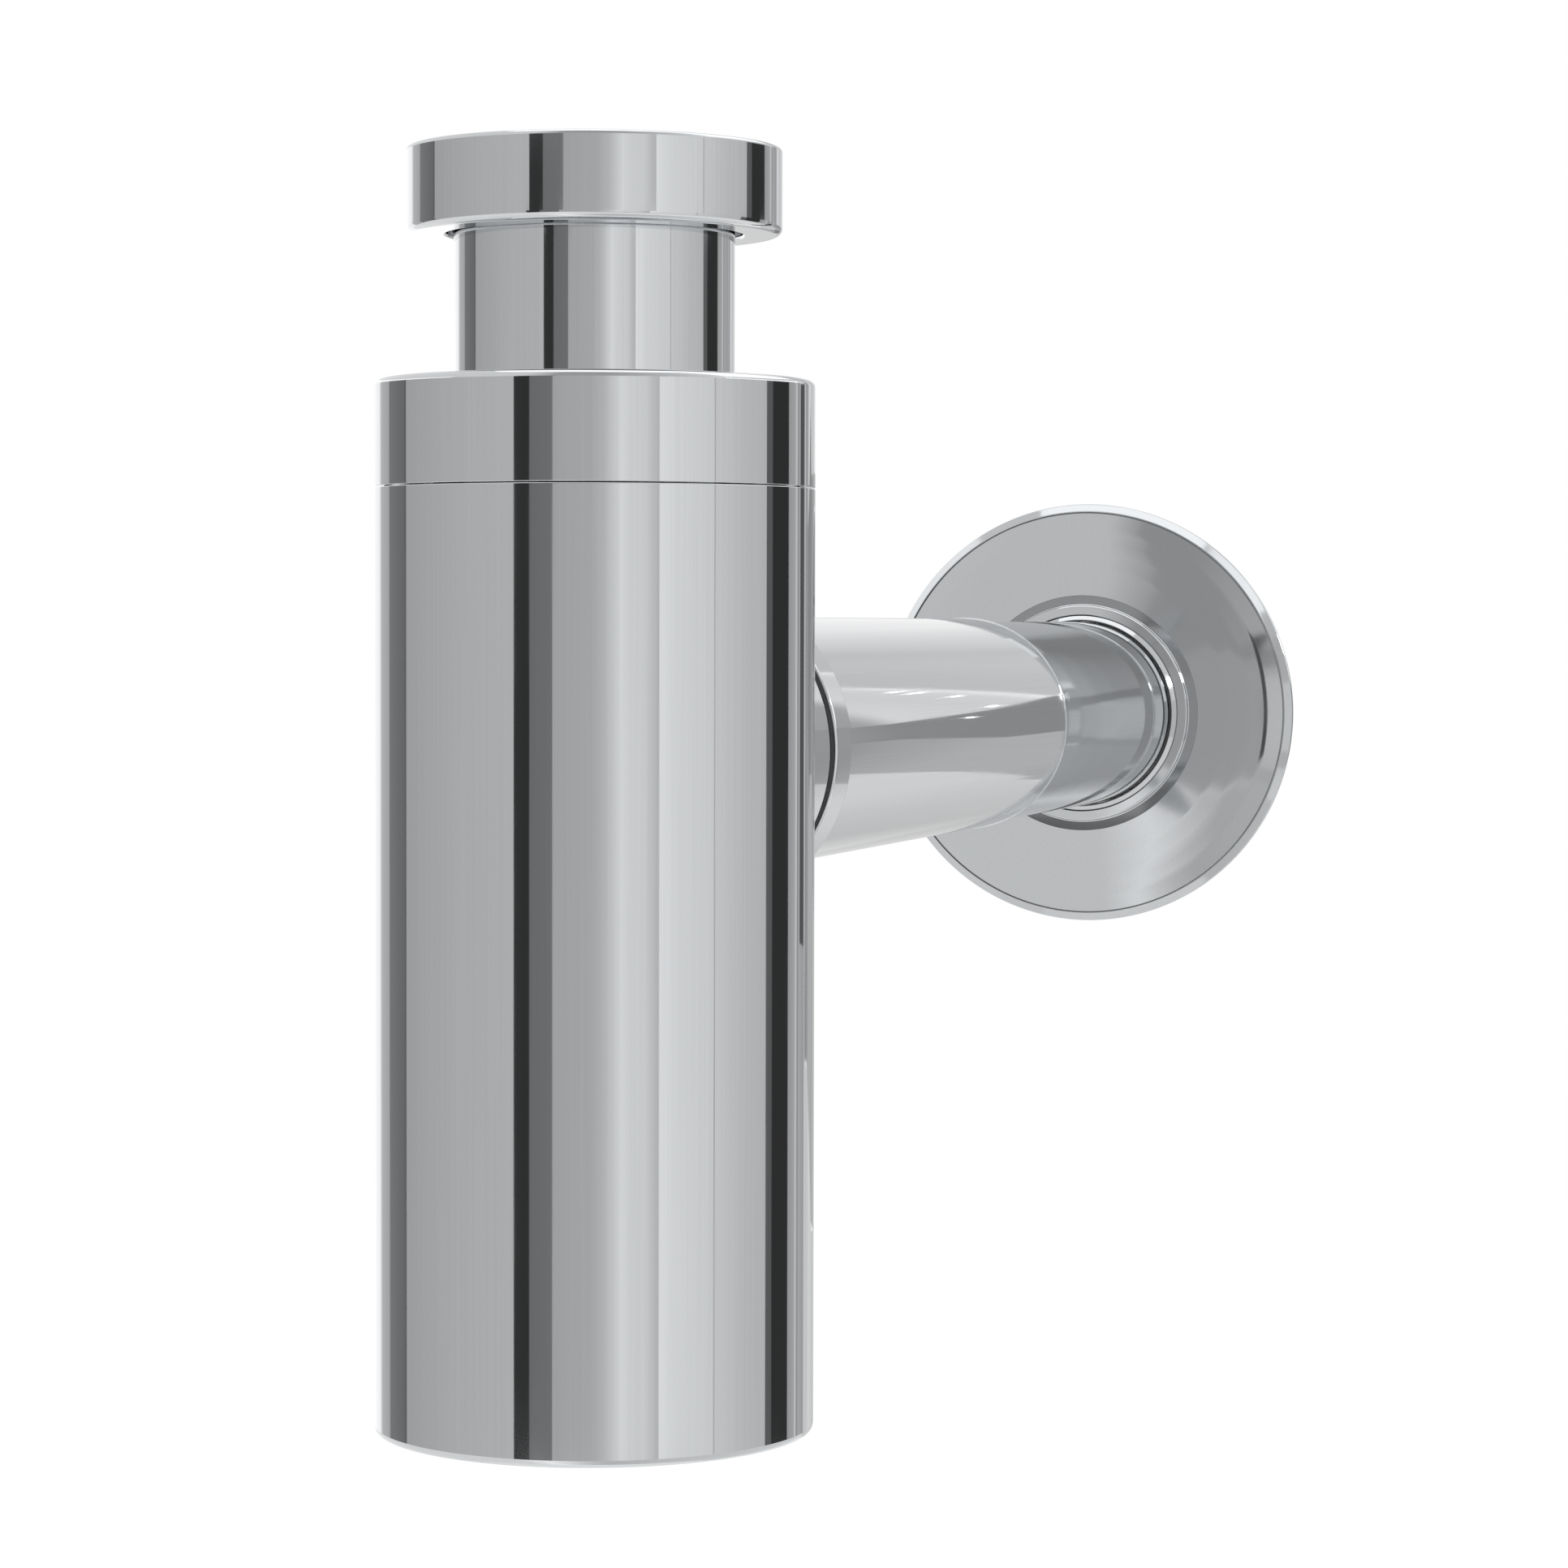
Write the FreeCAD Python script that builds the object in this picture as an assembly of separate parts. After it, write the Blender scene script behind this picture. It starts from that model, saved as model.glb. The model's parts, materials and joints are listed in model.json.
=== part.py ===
import FreeCAD, Part
import math
import os

# A bottle trap with a wall arm. The origin is on the inlet axis at the foot of the inlet nut's free
# thread, just above the gasket that the basin waste seals on. +Z points up into the waste, and the
# outlet arm runs along +Y to the wall. Sizes are millimetres.

# Standard pipe and thread sizes
pipe_radius = 16.0
pipe_wall = 1.0
thread_over_pipe = 4.95
thread_depth = 1.45

# Clearances
running_clearance = 0.05
loose_clearance = 0.3
hole_clearance = 0.35
solder_gap = 0.05
seam_gap = 0.35
cut_overrun = 1.0

# Edge rounds
fine_round = 0.2
edge_round = 0.4
inside_fillet = 1.0
deep_fillet = 2.0
thread_chamfer = 0.7
neck_chamfer = 0.6
pipe_end_chamfer_length = 1.0
pipe_end_chamfer_depth = 0.4

# Inlet nut and what it clamps
inlet_nut_wall = 4.55
inlet_nut_rise = 5.2
inlet_nut_height = 11.7
inlet_nut_shoulder = 1.4
inlet_nut_pocket_depth = 1.5
inlet_nut_pocket_clearance = 1.05
inlet_nut_top_round = 0.5
inlet_nut_foot_round = 1.1
thread_relief_start = -0.3
thread_relief_clearance = 0.15
gasket_top = -0.4
gasket_thickness = 1.8
gasket_clearance = 0.5
gasket_hole_clearance = 0.4
flange_thickness = 1.2
flange_clearance = 0.6

# Cover sleeves
sleeve_gap = 2.55
sleeve_wall = 0.5
sleeve_nut_insertion = 0.7
visible_inlet_length = 19.6
ring_squeeze = 0.075

# Head cap, collar and compression joints
body_radius = 30.0
cap_height = 14.5
cap_plate = 3.2
cap_skirt = 1.8
cap_edge_round = 0.9
seam_edge_round = 0.25
nut_thread_wall = 2.4
seat_depth = 5.0
seal_width = 3.4
seal_foot_width = 0.45
seal_lip = 0.5
slip_ring_thickness = 0.8
slip_ring_clearance = 0.2
slip_ring_round = 0.15
collar_plate = 3.0
collar_skirt_depth = 7.0
collar_skirt_wall = 2.0

# Body shell
shell_wall = 1.5
shell_floor = 2.0
shell_foot_round = 1.0
boss_below_seam = 12.15
water_seal = 50.0
sump_depth = 26.9

# Cleaning plug in the underside
plug_thread_radius = 15.9
plug_head_overhang = 3.1
plug_head_thickness = 2.6
plug_cup_depth = 5.3
plug_wall = 2.6
plug_ring_radius = 0.85
plug_ring_clearance = 0.05
plug_recess = 0.1
plug_slot_width = 3.0
plug_slot_length = 26.0
plug_slot_depth = 1.6
plug_slot_floor = 1.6
slot_end_share = 0.49
bush_height = 11.0
bush_wall = 2.0

# Outlet boss and its nut
outlet_nut_wall = 2.75
boss_projection = 4.0
boss_edge_round = 0.5
spigot_inside_length = 10.0
spigot_wall = 2.85
pipe_stop_depth = 2.0
outlet_nut_gap = 3.7
outlet_nut_length = 8.3
outlet_nut_plate = 1.8
outlet_nut_round = 0.8
stop_ring_width = 1.9

# Arm
pipe_end_room = 8.5
wall_pipe_insertion = 45.0
depth_mark_offset = 0.6
depth_mark_width = 0.6
depth_mark_depth = 0.25
arm_sleeve_length = 165.7
wall_sleeve_length = 124.5
sleeve_overlap = 20.0
wall_sleeve_wall_gap = 1.5
bead_length = 0.6
bead_height = 0.15
arm_ring_inset = 11.7
arm_ring_spacing = 38.0
wall_ring_inset = 4.0
wall_ring_far_inset = 16.0

# Rosette
rosette_radius = 42.5
rosette_sheet = 1.0
rosette_depth = 7.2
rosette_rim_width = 1.8
rosette_rim_height = 2.0
rosette_rim_step = 0.3
rosette_rim_slope = 0.3
dish_edge_width = 3.0
dish_edge_rise = 1.17
dish_middle_width = 3.6
dish_middle_rise = 0.83
dish_face_width = 4.0
dish_face_rise = 0.67
dish_centre_rise = 0.83
dish_edge_round = 12.0
dish_round = 30.0
collar_clearance = 0.3
collar_bead_width = 0.9
collar_bead_rise = 0.8
collar_bead_round = 0.42
collar_crease = 0.15
collar_wall = 1.4
collar_land_width = 2.0
collar_edge_round = 0.5
collar_foot_round = 0.3
collar_recess_start = 1.7
grip_ring_gap = 2.0
grip_ring_length = 4.0

# Radii worked out from the sizes above
pipe_bore_radius = pipe_radius - pipe_wall
thread_outer_radius = pipe_radius + thread_over_pipe
thread_inner_radius = thread_outer_radius - thread_depth
thread_bore_radius = thread_outer_radius + loose_clearance
nut_hole_radius = pipe_radius + hole_clearance
seat_mouth_radius = pipe_radius + seal_width
inlet_nut_radius = thread_outer_radius + inlet_nut_wall
sleeve_bore_radius = pipe_radius + sleeve_gap
sleeve_radius = sleeve_bore_radius + sleeve_wall
wall_sleeve_radius = sleeve_bore_radius - running_clearance
wall_sleeve_bore = wall_sleeve_radius - sleeve_wall
shell_bore_radius = body_radius - shell_wall
boss_radius = thread_bore_radius + outlet_nut_wall
plug_bore_radius = plug_thread_radius + loose_clearance
plug_head_radius = plug_thread_radius + plug_head_overhang
rosette_bore_radius = wall_sleeve_radius + grip_ring_gap

# Heights on the inlet axis
inlet_nut_foot = inlet_nut_rise - inlet_nut_height
pocket_top = inlet_nut_foot + inlet_nut_pocket_depth
gasket_foot = gasket_top - gasket_thickness
flange_foot = gasket_foot - flange_thickness
cap_top = inlet_nut_foot - visible_inlet_length
cap_foot = cap_top - cap_height
shell_top = cap_foot - seam_gap
seal_stack = seal_lip + slip_ring_thickness + loose_clearance
inlet_seat_height = cap_top - cap_plate - seal_stack
outlet_height = shell_top - boss_below_seam - boss_radius
inlet_pipe_foot = outlet_height - pipe_bore_radius - water_seal
shell_foot = inlet_pipe_foot - sump_depth
plug_foot = shell_foot + plug_recess
plug_head_top = plug_foot + plug_head_thickness
plug_cup_floor = plug_foot + plug_slot_depth + plug_slot_floor
plug_top = plug_cup_floor + plug_cup_depth
plug_seat_height = plug_head_top + 2 * (plug_ring_radius + plug_ring_clearance)

# Distances along the arm from the body's axis
spigot_inner_end = body_radius - spigot_inside_length
socket_start = spigot_inner_end + pipe_stop_depth
boss_reach = body_radius + boss_projection
outlet_nut_start = boss_reach + outlet_nut_gap
outlet_nut_end = outlet_nut_start + outlet_nut_length
outlet_seat_reach = outlet_nut_end - outlet_nut_plate - seal_stack
arm_sleeve_start = outlet_nut_end + loose_clearance
arm_sleeve_end = arm_sleeve_start + arm_sleeve_length
arm_ring_near = arm_sleeve_start + arm_ring_inset
arm_ring_far = arm_ring_near + arm_ring_spacing
wall_sleeve_start = arm_sleeve_end - sleeve_overlap
wall_sleeve_end = wall_sleeve_start + wall_sleeve_length
wall_distance = wall_sleeve_end + wall_sleeve_wall_gap
wall_pipe_start = socket_start + pipe_end_room
wall_pipe_end = wall_distance + wall_pipe_insertion


def rounded_wire(points):
    """Closed outline through (radius, height) points; a third number rounds that corner."""
    corners = [FreeCAD.Vector(point[0], 0, point[1]) for point in points]
    turns = []
    for i, point in enumerate(points):
        before = corners[i - 1] - corners[i]
        after = corners[(i + 1) % len(corners)] - corners[i]
        if len(point) < 3:
            turns.append((corners[i], None, corners[i]))
            continue
        half_angle = before.getAngle(after) / 2
        room = min(before.Length, after.Length) / 2
        setback = min(point[2] / math.tan(half_angle), room)
        radius = setback * math.tan(half_angle)
        before.normalize()
        after.normalize()
        bisector = (before + after).normalize()
        middle = corners[i] + bisector * (radius / math.sin(half_angle) - radius)
        turns.append((corners[i] + before * setback, middle, corners[i] + after * setback))
    edges = []
    for i, (start, middle, end) in enumerate(turns):
        if middle is not None:
            edges.append(Part.Arc(start, middle, end).toShape())
        following = turns[(i + 1) % len(turns)][0]
        if not end.isEqual(following, 1e-6):
            edges.append(Part.makeLine(end, following))
    return Part.Wire(edges)


def turned(points):
    """Solid of revolution about Z of an outline of (radius, height) points."""
    face = Part.Face(rounded_wire(points))
    return face.revolve(FreeCAD.Vector(0, 0, 0), FreeCAD.Vector(0, 0, 1), 360)


def ring(inner, outer, low, high, corner):
    """Plain ring between two radii and two heights."""
    return turned([
        (inner, low, corner),
        (outer, low, corner),
        (outer, high, corner),
        (inner, high, corner),
    ])


def cylinder(radius, low, high):
    """Solid cylinder about Z."""
    return Part.makeCylinder(radius, high - low, FreeCAD.Vector(0, 0, low))


def torus(centre_radius, section_radius, height):
    """Round-section ring about Z."""
    return Part.makeTorus(
        centre_radius, section_radius, FreeCAD.Vector(0, 0, height), FreeCAD.Vector(0, 0, 1))


def rubber_ring(inner, outer, height):
    """Round-section ring that fits between two radii."""
    return torus((outer + inner) / 2, (outer - inner) / 2 - ring_squeeze, height)


def on_arm(shape):
    """Turn a solid made about Z so that its height runs along the arm, from the body's axis."""
    placed = shape.copy()
    placed.rotate(FreeCAD.Vector(0, 0, 0), FreeCAD.Vector(1, 0, 0), -90)
    placed.translate(FreeCAD.Vector(0, 0, outlet_height))
    return placed


def neck_outline(root, mouth):
    """Outside of a threaded neck, from its root to its chamfered mouth."""
    return [
        (thread_outer_radius, root),
        (thread_outer_radius, mouth - neck_chamfer),
        (thread_outer_radius - neck_chamfer, mouth),
    ]


def seat_outline(mouth):
    """Conical seat in a neck, from its mouth inwards."""
    return [
        (seat_mouth_radius, mouth),
        (nut_hole_radius, mouth - seat_depth),
    ]


def cone_seal(mouth):
    """Conical rubber seal in a seat whose mouth is at this height."""
    fit = pipe_radius + running_clearance
    foot = mouth - seat_depth + loose_clearance
    wide = seat_mouth_radius - loose_clearance
    return turned([
        (fit, foot),
        (pipe_radius + seal_foot_width, foot),
        (wide, mouth, fine_round),
        (wide, mouth + seal_lip),
        (fit, mouth + seal_lip),
    ])


def slip_ring(mouth):
    """Hard flat ring that lets the nut turn on the cone seal."""
    low = mouth + seal_lip
    inner = pipe_radius + slip_ring_clearance
    return ring(inner, seat_mouth_radius, low, low + slip_ring_thickness, slip_ring_round)


def inlet_union_nut():
    pocket_radius = sleeve_radius + inlet_nut_pocket_clearance
    relief_radius = thread_outer_radius + thread_relief_clearance
    shoulder_top = pocket_top + inlet_nut_shoulder
    return turned([
        (pocket_radius, inlet_nut_foot, edge_round),
        (inlet_nut_radius, inlet_nut_foot, inlet_nut_foot_round),
        (inlet_nut_radius, inlet_nut_rise, inlet_nut_top_round),
        (thread_inner_radius + thread_chamfer, inlet_nut_rise),
        (thread_inner_radius, inlet_nut_rise - thread_chamfer),
        (thread_inner_radius, thread_relief_start),
        (relief_radius, thread_relief_start),
        (relief_radius, shoulder_top),
        (nut_hole_radius, shoulder_top),
        (nut_hole_radius, pocket_top),
        (pocket_radius, pocket_top),
    ])


def inlet_gasket():
    inner = pipe_bore_radius + gasket_hole_clearance
    outer = thread_inner_radius - gasket_clearance
    return ring(inner, outer, gasket_foot, gasket_top, fine_round)


def inlet_tube():
    flange_radius = thread_inner_radius - flange_clearance
    return turned([
        (pipe_bore_radius, inlet_pipe_foot, fine_round),
        (pipe_radius, inlet_pipe_foot, edge_round),
        (pipe_radius, flange_foot, edge_round),
        (flange_radius, flange_foot, fine_round),
        (flange_radius, gasket_foot, fine_round),
        (pipe_bore_radius, gasket_foot, inside_fillet),
    ])


def inlet_cover_sleeve():
    low = cap_top + loose_clearance
    high = inlet_nut_foot + sleeve_nut_insertion
    return ring(sleeve_bore_radius, sleeve_radius, low, high, fine_round)


def inlet_sleeve_ring():
    return rubber_ring(pipe_radius, sleeve_bore_radius, (cap_top + inlet_nut_foot) / 2)


def head_cap():
    plate_foot = cap_top - cap_plate
    hub_radius = thread_bore_radius + nut_thread_wall
    skirt_bore = body_radius - cap_skirt
    return turned([
        (nut_hole_radius, cap_top, edge_round),
        (body_radius, cap_top, cap_edge_round),
        (body_radius, cap_foot, seam_edge_round),
        (skirt_bore, cap_foot),
        (skirt_bore, plate_foot, inside_fillet),
        (hub_radius, plate_foot, inside_fillet),
        (hub_radius, cap_foot),
        (thread_bore_radius + thread_chamfer, cap_foot),
        (thread_bore_radius, cap_foot + thread_chamfer),
        (thread_bore_radius, plate_foot),
        (nut_hole_radius, plate_foot),
    ])


def body_collar():
    outer = shell_bore_radius - solder_gap
    plate_foot = shell_top - collar_plate
    skirt_foot = shell_top - collar_skirt_depth
    skirt_bore = outer - collar_skirt_wall
    neck = neck_outline(shell_top, inlet_seat_height) + seat_outline(inlet_seat_height)
    return turned([(outer, shell_top, fine_round)] + neck + [
        (nut_hole_radius, plate_foot, edge_round),
        (skirt_bore, plate_foot, inside_fillet),
        (skirt_bore, skirt_foot),
        (outer, skirt_foot),
    ])


def body_shell():
    bush_top = shell_foot + bush_height
    floor_top = shell_foot + shell_floor
    recess_radius = plug_head_radius + loose_clearance
    bush_radius = recess_radius + bush_wall
    shell = turned([
        (recess_radius, shell_foot, fine_round),
        (body_radius, shell_foot, shell_foot_round),
        (body_radius, shell_top, seam_edge_round),
        (shell_bore_radius, shell_top),
        (shell_bore_radius, floor_top, deep_fillet),
        (bush_radius, floor_top, inside_fillet),
        (bush_radius, bush_top, edge_round),
        (plug_bore_radius, bush_top, fine_round),
        (plug_bore_radius, plug_seat_height),
        (recess_radius, plug_seat_height),
    ])
    hole_radius = pipe_radius + spigot_wall + running_clearance
    return shell.cut(on_arm(cylinder(hole_radius, 0, body_radius + cut_overrun)))


def cleaning_plug():
    cup_radius = plug_thread_radius - plug_wall
    plug = turned([
        (0, plug_foot),
        (plug_head_radius, plug_foot, edge_round),
        (plug_head_radius, plug_head_top, fine_round),
        (plug_thread_radius, plug_head_top),
        (plug_thread_radius, plug_top, edge_round),
        (cup_radius, plug_top, fine_round),
        (cup_radius, plug_cup_floor, inside_fillet),
        (0, plug_cup_floor),
    ])
    slot = Part.makeBox(plug_slot_length, plug_slot_width, plug_slot_depth + cut_overrun)
    slot.translate(FreeCAD.Vector(-plug_slot_length / 2, -plug_slot_width / 2, plug_foot - cut_overrun))
    ends = [edge for edge in slot.Edges if abs(edge.tangentAt(0).z) > 0.9]
    return plug.cut(slot.makeFillet(plug_slot_width * slot_end_share, ends))


def cleaning_plug_seal():
    height = plug_head_top + plug_ring_radius + plug_ring_clearance
    return torus((plug_bore_radius + plug_head_radius) / 2, plug_ring_radius, height)


def outlet_boss():
    saddle = cylinder(boss_radius, 0, boss_reach)
    rim = [edge for edge in saddle.Edges if abs(edge.CenterOfMass.z - boss_reach) < fine_round]
    saddle = on_arm(saddle.makeFillet(boss_edge_round, rim))
    saddle = saddle.cut(cylinder(body_radius + solder_gap, shell_foot, shell_top))
    spigot = on_arm(cylinder(pipe_radius + spigot_wall, spigot_inner_end, boss_reach))
    neck = neck_outline(boss_reach, outlet_seat_reach)
    neck = on_arm(turned([(0, boss_reach)] + neck + [(0, outlet_seat_reach)]))
    seat_mouth, seat_foot = seat_outline(outlet_seat_reach)
    fit = pipe_radius + running_clearance
    socket = on_arm(turned([
        (0, spigot_inner_end - cut_overrun),
        (pipe_bore_radius, spigot_inner_end - cut_overrun),
        (pipe_bore_radius, socket_start),
        (fit, socket_start),
        (fit, seat_foot[1]),
        seat_foot,
        seat_mouth,
        (seat_mouth_radius, outlet_seat_reach + cut_overrun),
        (0, outlet_seat_reach + cut_overrun),
    ]))
    return saddle.fuse(spigot).fuse(neck).removeSplitter().cut(socket)


def outlet_stop_ring():
    inner = thread_outer_radius + running_clearance
    end = outlet_nut_start - loose_clearance
    return on_arm(ring(inner, inner + stop_ring_width, boss_reach, end, edge_round))


def outlet_union_nut():
    plate_start = outlet_nut_end - outlet_nut_plate
    return on_arm(turned([
        (thread_bore_radius + thread_chamfer, outlet_nut_start),
        (boss_radius, outlet_nut_start, edge_round),
        (boss_radius, outlet_nut_end, outlet_nut_round),
        (nut_hole_radius, outlet_nut_end, fine_round),
        (nut_hole_radius, plate_start),
        (thread_bore_radius, plate_start),
        (thread_bore_radius, outlet_nut_start + thread_chamfer),
    ]))


def wall_tube():
    mark = wall_distance + depth_mark_offset
    mark_radius = pipe_radius - depth_mark_depth
    return on_arm(turned([
        (pipe_bore_radius, wall_pipe_start, fine_round),
        (pipe_radius, wall_pipe_start, edge_round),
        (pipe_radius, mark),
        (mark_radius, mark),
        (mark_radius, mark + depth_mark_width),
        (pipe_radius, mark + depth_mark_width),
        (pipe_radius, wall_pipe_end - pipe_end_chamfer_length),
        (pipe_radius - pipe_end_chamfer_depth, wall_pipe_end),
        (pipe_bore_radius, wall_pipe_end),
    ]))


def arm_cover_sleeve():
    bead_start = arm_sleeve_end - bead_length
    bead_radius = sleeve_radius + bead_height
    return on_arm(turned([
        (sleeve_bore_radius, arm_sleeve_start, fine_round),
        (sleeve_radius, arm_sleeve_start, fine_round),
        (sleeve_radius, bead_start, fine_round),
        (bead_radius, bead_start, fine_round),
        (bead_radius, arm_sleeve_end, edge_round),
        (sleeve_bore_radius, arm_sleeve_end, fine_round),
    ]))


def wall_cover_sleeve():
    return on_arm(ring(
        wall_sleeve_bore, wall_sleeve_radius, wall_sleeve_start, wall_sleeve_end, fine_round))


def arm_ring(reach, bore):
    """Rubber ring on the wall pipe under a cover sleeve of this bore."""
    return on_arm(rubber_ring(pipe_radius, bore, reach))


def rosette():
    """Outline from the wall up over the rim, in across the dished face, and up the beaded collar."""
    front = wall_distance - rosette_depth
    bead_foot = front + collar_bead_rise
    hole_radius = wall_sleeve_radius + collar_clearance
    bead_radius = hole_radius + collar_bead_width
    collar_radius = rosette_bore_radius + collar_wall
    rim_inner = rosette_radius - rosette_rim_width
    rim_front = wall_distance - rosette_rim_height
    dish_start = rim_inner - rosette_rim_slope
    edge_radius = dish_start - dish_edge_width
    edge_reach = rim_front + rosette_rim_step - dish_edge_rise
    middle_radius = edge_radius - dish_middle_width
    middle_reach = edge_reach - dish_middle_rise
    face_radius = middle_radius - dish_face_width
    face_reach = middle_reach - dish_face_rise
    land_radius = collar_radius + collar_land_width
    land_reach = face_reach - dish_centre_rise
    outside = [
        (rosette_radius, wall_distance, edge_round),
        (rosette_radius, rim_front, inside_fillet),
        (rim_inner, rim_front, edge_round),
        (dish_start, rim_front + rosette_rim_step),
        (edge_radius, edge_reach, dish_edge_round),
        (middle_radius, middle_reach, dish_round),
        (face_radius, face_reach, dish_round),
        (land_radius, land_reach),
        (collar_radius, land_reach, collar_foot_round),
        (collar_radius, bead_foot, collar_edge_round),
        (bead_radius + collar_crease, bead_foot),
        (bead_radius, bead_foot + collar_crease),
        (bead_radius, front, collar_bead_round),
        (hole_radius, front, collar_bead_round),
    ]
    inside = [
        (hole_radius, front + collar_recess_start),
        (rosette_bore_radius, front + collar_recess_start),
        (rosette_bore_radius, land_reach + rosette_sheet, fine_round),
        (face_radius, face_reach + rosette_sheet, dish_round),
        (middle_radius, middle_reach + rosette_sheet, dish_round),
        (edge_radius, edge_reach + rosette_sheet, dish_edge_round),
        (dish_start, wall_distance, fine_round),
    ]
    return on_arm(turned(outside + inside))


def rosette_grip_ring():
    """Plastic ring in the collar's recess, which grips the sleeve."""
    start = wall_distance - rosette_depth + collar_recess_start + running_clearance
    inner = wall_sleeve_radius + running_clearance
    outer = rosette_bore_radius - running_clearance
    return on_arm(ring(inner, outer, start, start + grip_ring_length, fine_round))


pieces = {
    "inlet_union_nut": inlet_union_nut(),
    "inlet_gasket": inlet_gasket(),
    "inlet_tube": inlet_tube(),
    "inlet_cover_sleeve": inlet_cover_sleeve(),
    "inlet_sleeve_ring": inlet_sleeve_ring(),
    "inlet_cone_seal": cone_seal(inlet_seat_height),
    "inlet_slip_ring": slip_ring(inlet_seat_height),
    "head_cap": head_cap(),
    "body_collar": body_collar(),
    "body_shell": body_shell(),
    "cleaning_plug": cleaning_plug(),
    "cleaning_plug_seal": cleaning_plug_seal(),
    "outlet_boss": outlet_boss(),
    "outlet_stop_ring": outlet_stop_ring(),
    "outlet_cone_seal": on_arm(cone_seal(outlet_seat_reach)),
    "outlet_slip_ring": on_arm(slip_ring(outlet_seat_reach)),
    "outlet_union_nut": outlet_union_nut(),
    "wall_tube": wall_tube(),
    "arm_cover_sleeve": arm_cover_sleeve(),
    "arm_sleeve_ring_near": arm_ring(arm_ring_near, sleeve_bore_radius),
    "arm_sleeve_ring_far": arm_ring(arm_ring_far, sleeve_bore_radius),
    "wall_cover_sleeve": wall_cover_sleeve(),
    "wall_sleeve_ring_near": arm_ring(wall_sleeve_start + wall_ring_inset, wall_sleeve_bore),
    "wall_sleeve_ring_far": arm_ring(wall_sleeve_end - wall_ring_far_inset, wall_sleeve_bore),
    "rosette": rosette(),
    "rosette_grip_ring": rosette_grip_ring(),
}

os.makedirs("parts", exist_ok=True)
for name, shape in pieces.items():
    shape.exportStep("parts/" + name + ".step")
    print(name, shape.isValid(), len(shape.Solids), round(shape.Volume, 1))
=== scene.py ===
import json
import math

import bpy
from bpy.props import FloatProperty, FloatVectorProperty, IntProperty, PointerProperty
from mathutils import Matrix, Vector


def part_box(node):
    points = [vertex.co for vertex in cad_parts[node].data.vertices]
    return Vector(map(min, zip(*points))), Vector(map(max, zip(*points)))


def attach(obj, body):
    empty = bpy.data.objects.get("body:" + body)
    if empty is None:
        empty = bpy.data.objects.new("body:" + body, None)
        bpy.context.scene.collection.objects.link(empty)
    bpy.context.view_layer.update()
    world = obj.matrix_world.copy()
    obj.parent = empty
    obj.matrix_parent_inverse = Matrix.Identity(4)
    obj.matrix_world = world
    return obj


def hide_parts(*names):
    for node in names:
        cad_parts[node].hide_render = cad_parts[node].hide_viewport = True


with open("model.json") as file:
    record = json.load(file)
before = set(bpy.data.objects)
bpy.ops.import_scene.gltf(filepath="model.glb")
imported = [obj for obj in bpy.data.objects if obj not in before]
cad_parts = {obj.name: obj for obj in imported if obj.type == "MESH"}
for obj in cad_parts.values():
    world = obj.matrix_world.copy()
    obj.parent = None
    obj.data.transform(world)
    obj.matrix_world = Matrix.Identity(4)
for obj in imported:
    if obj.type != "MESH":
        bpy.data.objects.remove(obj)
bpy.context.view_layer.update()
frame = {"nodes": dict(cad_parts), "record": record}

bl_info = {
    "name": "Bottle trap",
    "version": (1, 0, 0),
    "blender": (4, 5, 0),
    "location": "3D View > Sidebar > Bottle Trap",
    "description": "Dresses the packed bottle trap in turned, polished and plated pieces",
    "category": "Object",
}

# The body that the record gives each CAD node.
bodies = {
    node: body for body, nodes in frame["record"]["behaviour"]["bodies"].items() for node in nodes}
millimetre = 0.001
upright = 2
along_arm = 1
turned_chrome = {upright: "upright_chrome", along_arm: "arm_chrome"}
# From these angles on, an edge of a turned piece and of a CAD mesh shows as sharp.
sharp_edge = math.radians(35)
sharp_facet = math.radians(25)
# Vertices of a CAD mesh that are closer than this are one.
weld_distance = 0.002 * millimetre


def linear(hex_code):
    """Linear RGB of an sRGB hex colour."""
    values = [int(hex_code[i:i + 2], 16) / 255 for i in (1, 3, 5)]
    return tuple(v / 12.92 if v <= 0.04045 else ((v + 0.055) / 1.055) ** 2.4 for v in values)


def length(name, description, size):
    """Property for a size given in millimetres."""
    return FloatProperty(
        name=name, description=description, default=size * millimetre, unit="LENGTH", precision=5)


def angle(name, description, degrees):
    """Property for an angle given in degrees."""
    return FloatProperty(name=name, description=description, default=math.radians(degrees), subtype="ANGLE")


def number(name, description, value):
    """Property for a plain number."""
    return FloatProperty(name=name, description=description, default=value)


def place(name, description, point):
    """Property for a point given in metres."""
    return FloatVectorProperty(name=name, description=description, default=point, subtype="TRANSLATION")


def colour(name, description, hex_code):
    """Property for a colour given as sRGB hex."""
    return FloatVectorProperty(
        name=name, description=description, default=linear(hex_code), subtype="COLOR", min=0, max=1)


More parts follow.
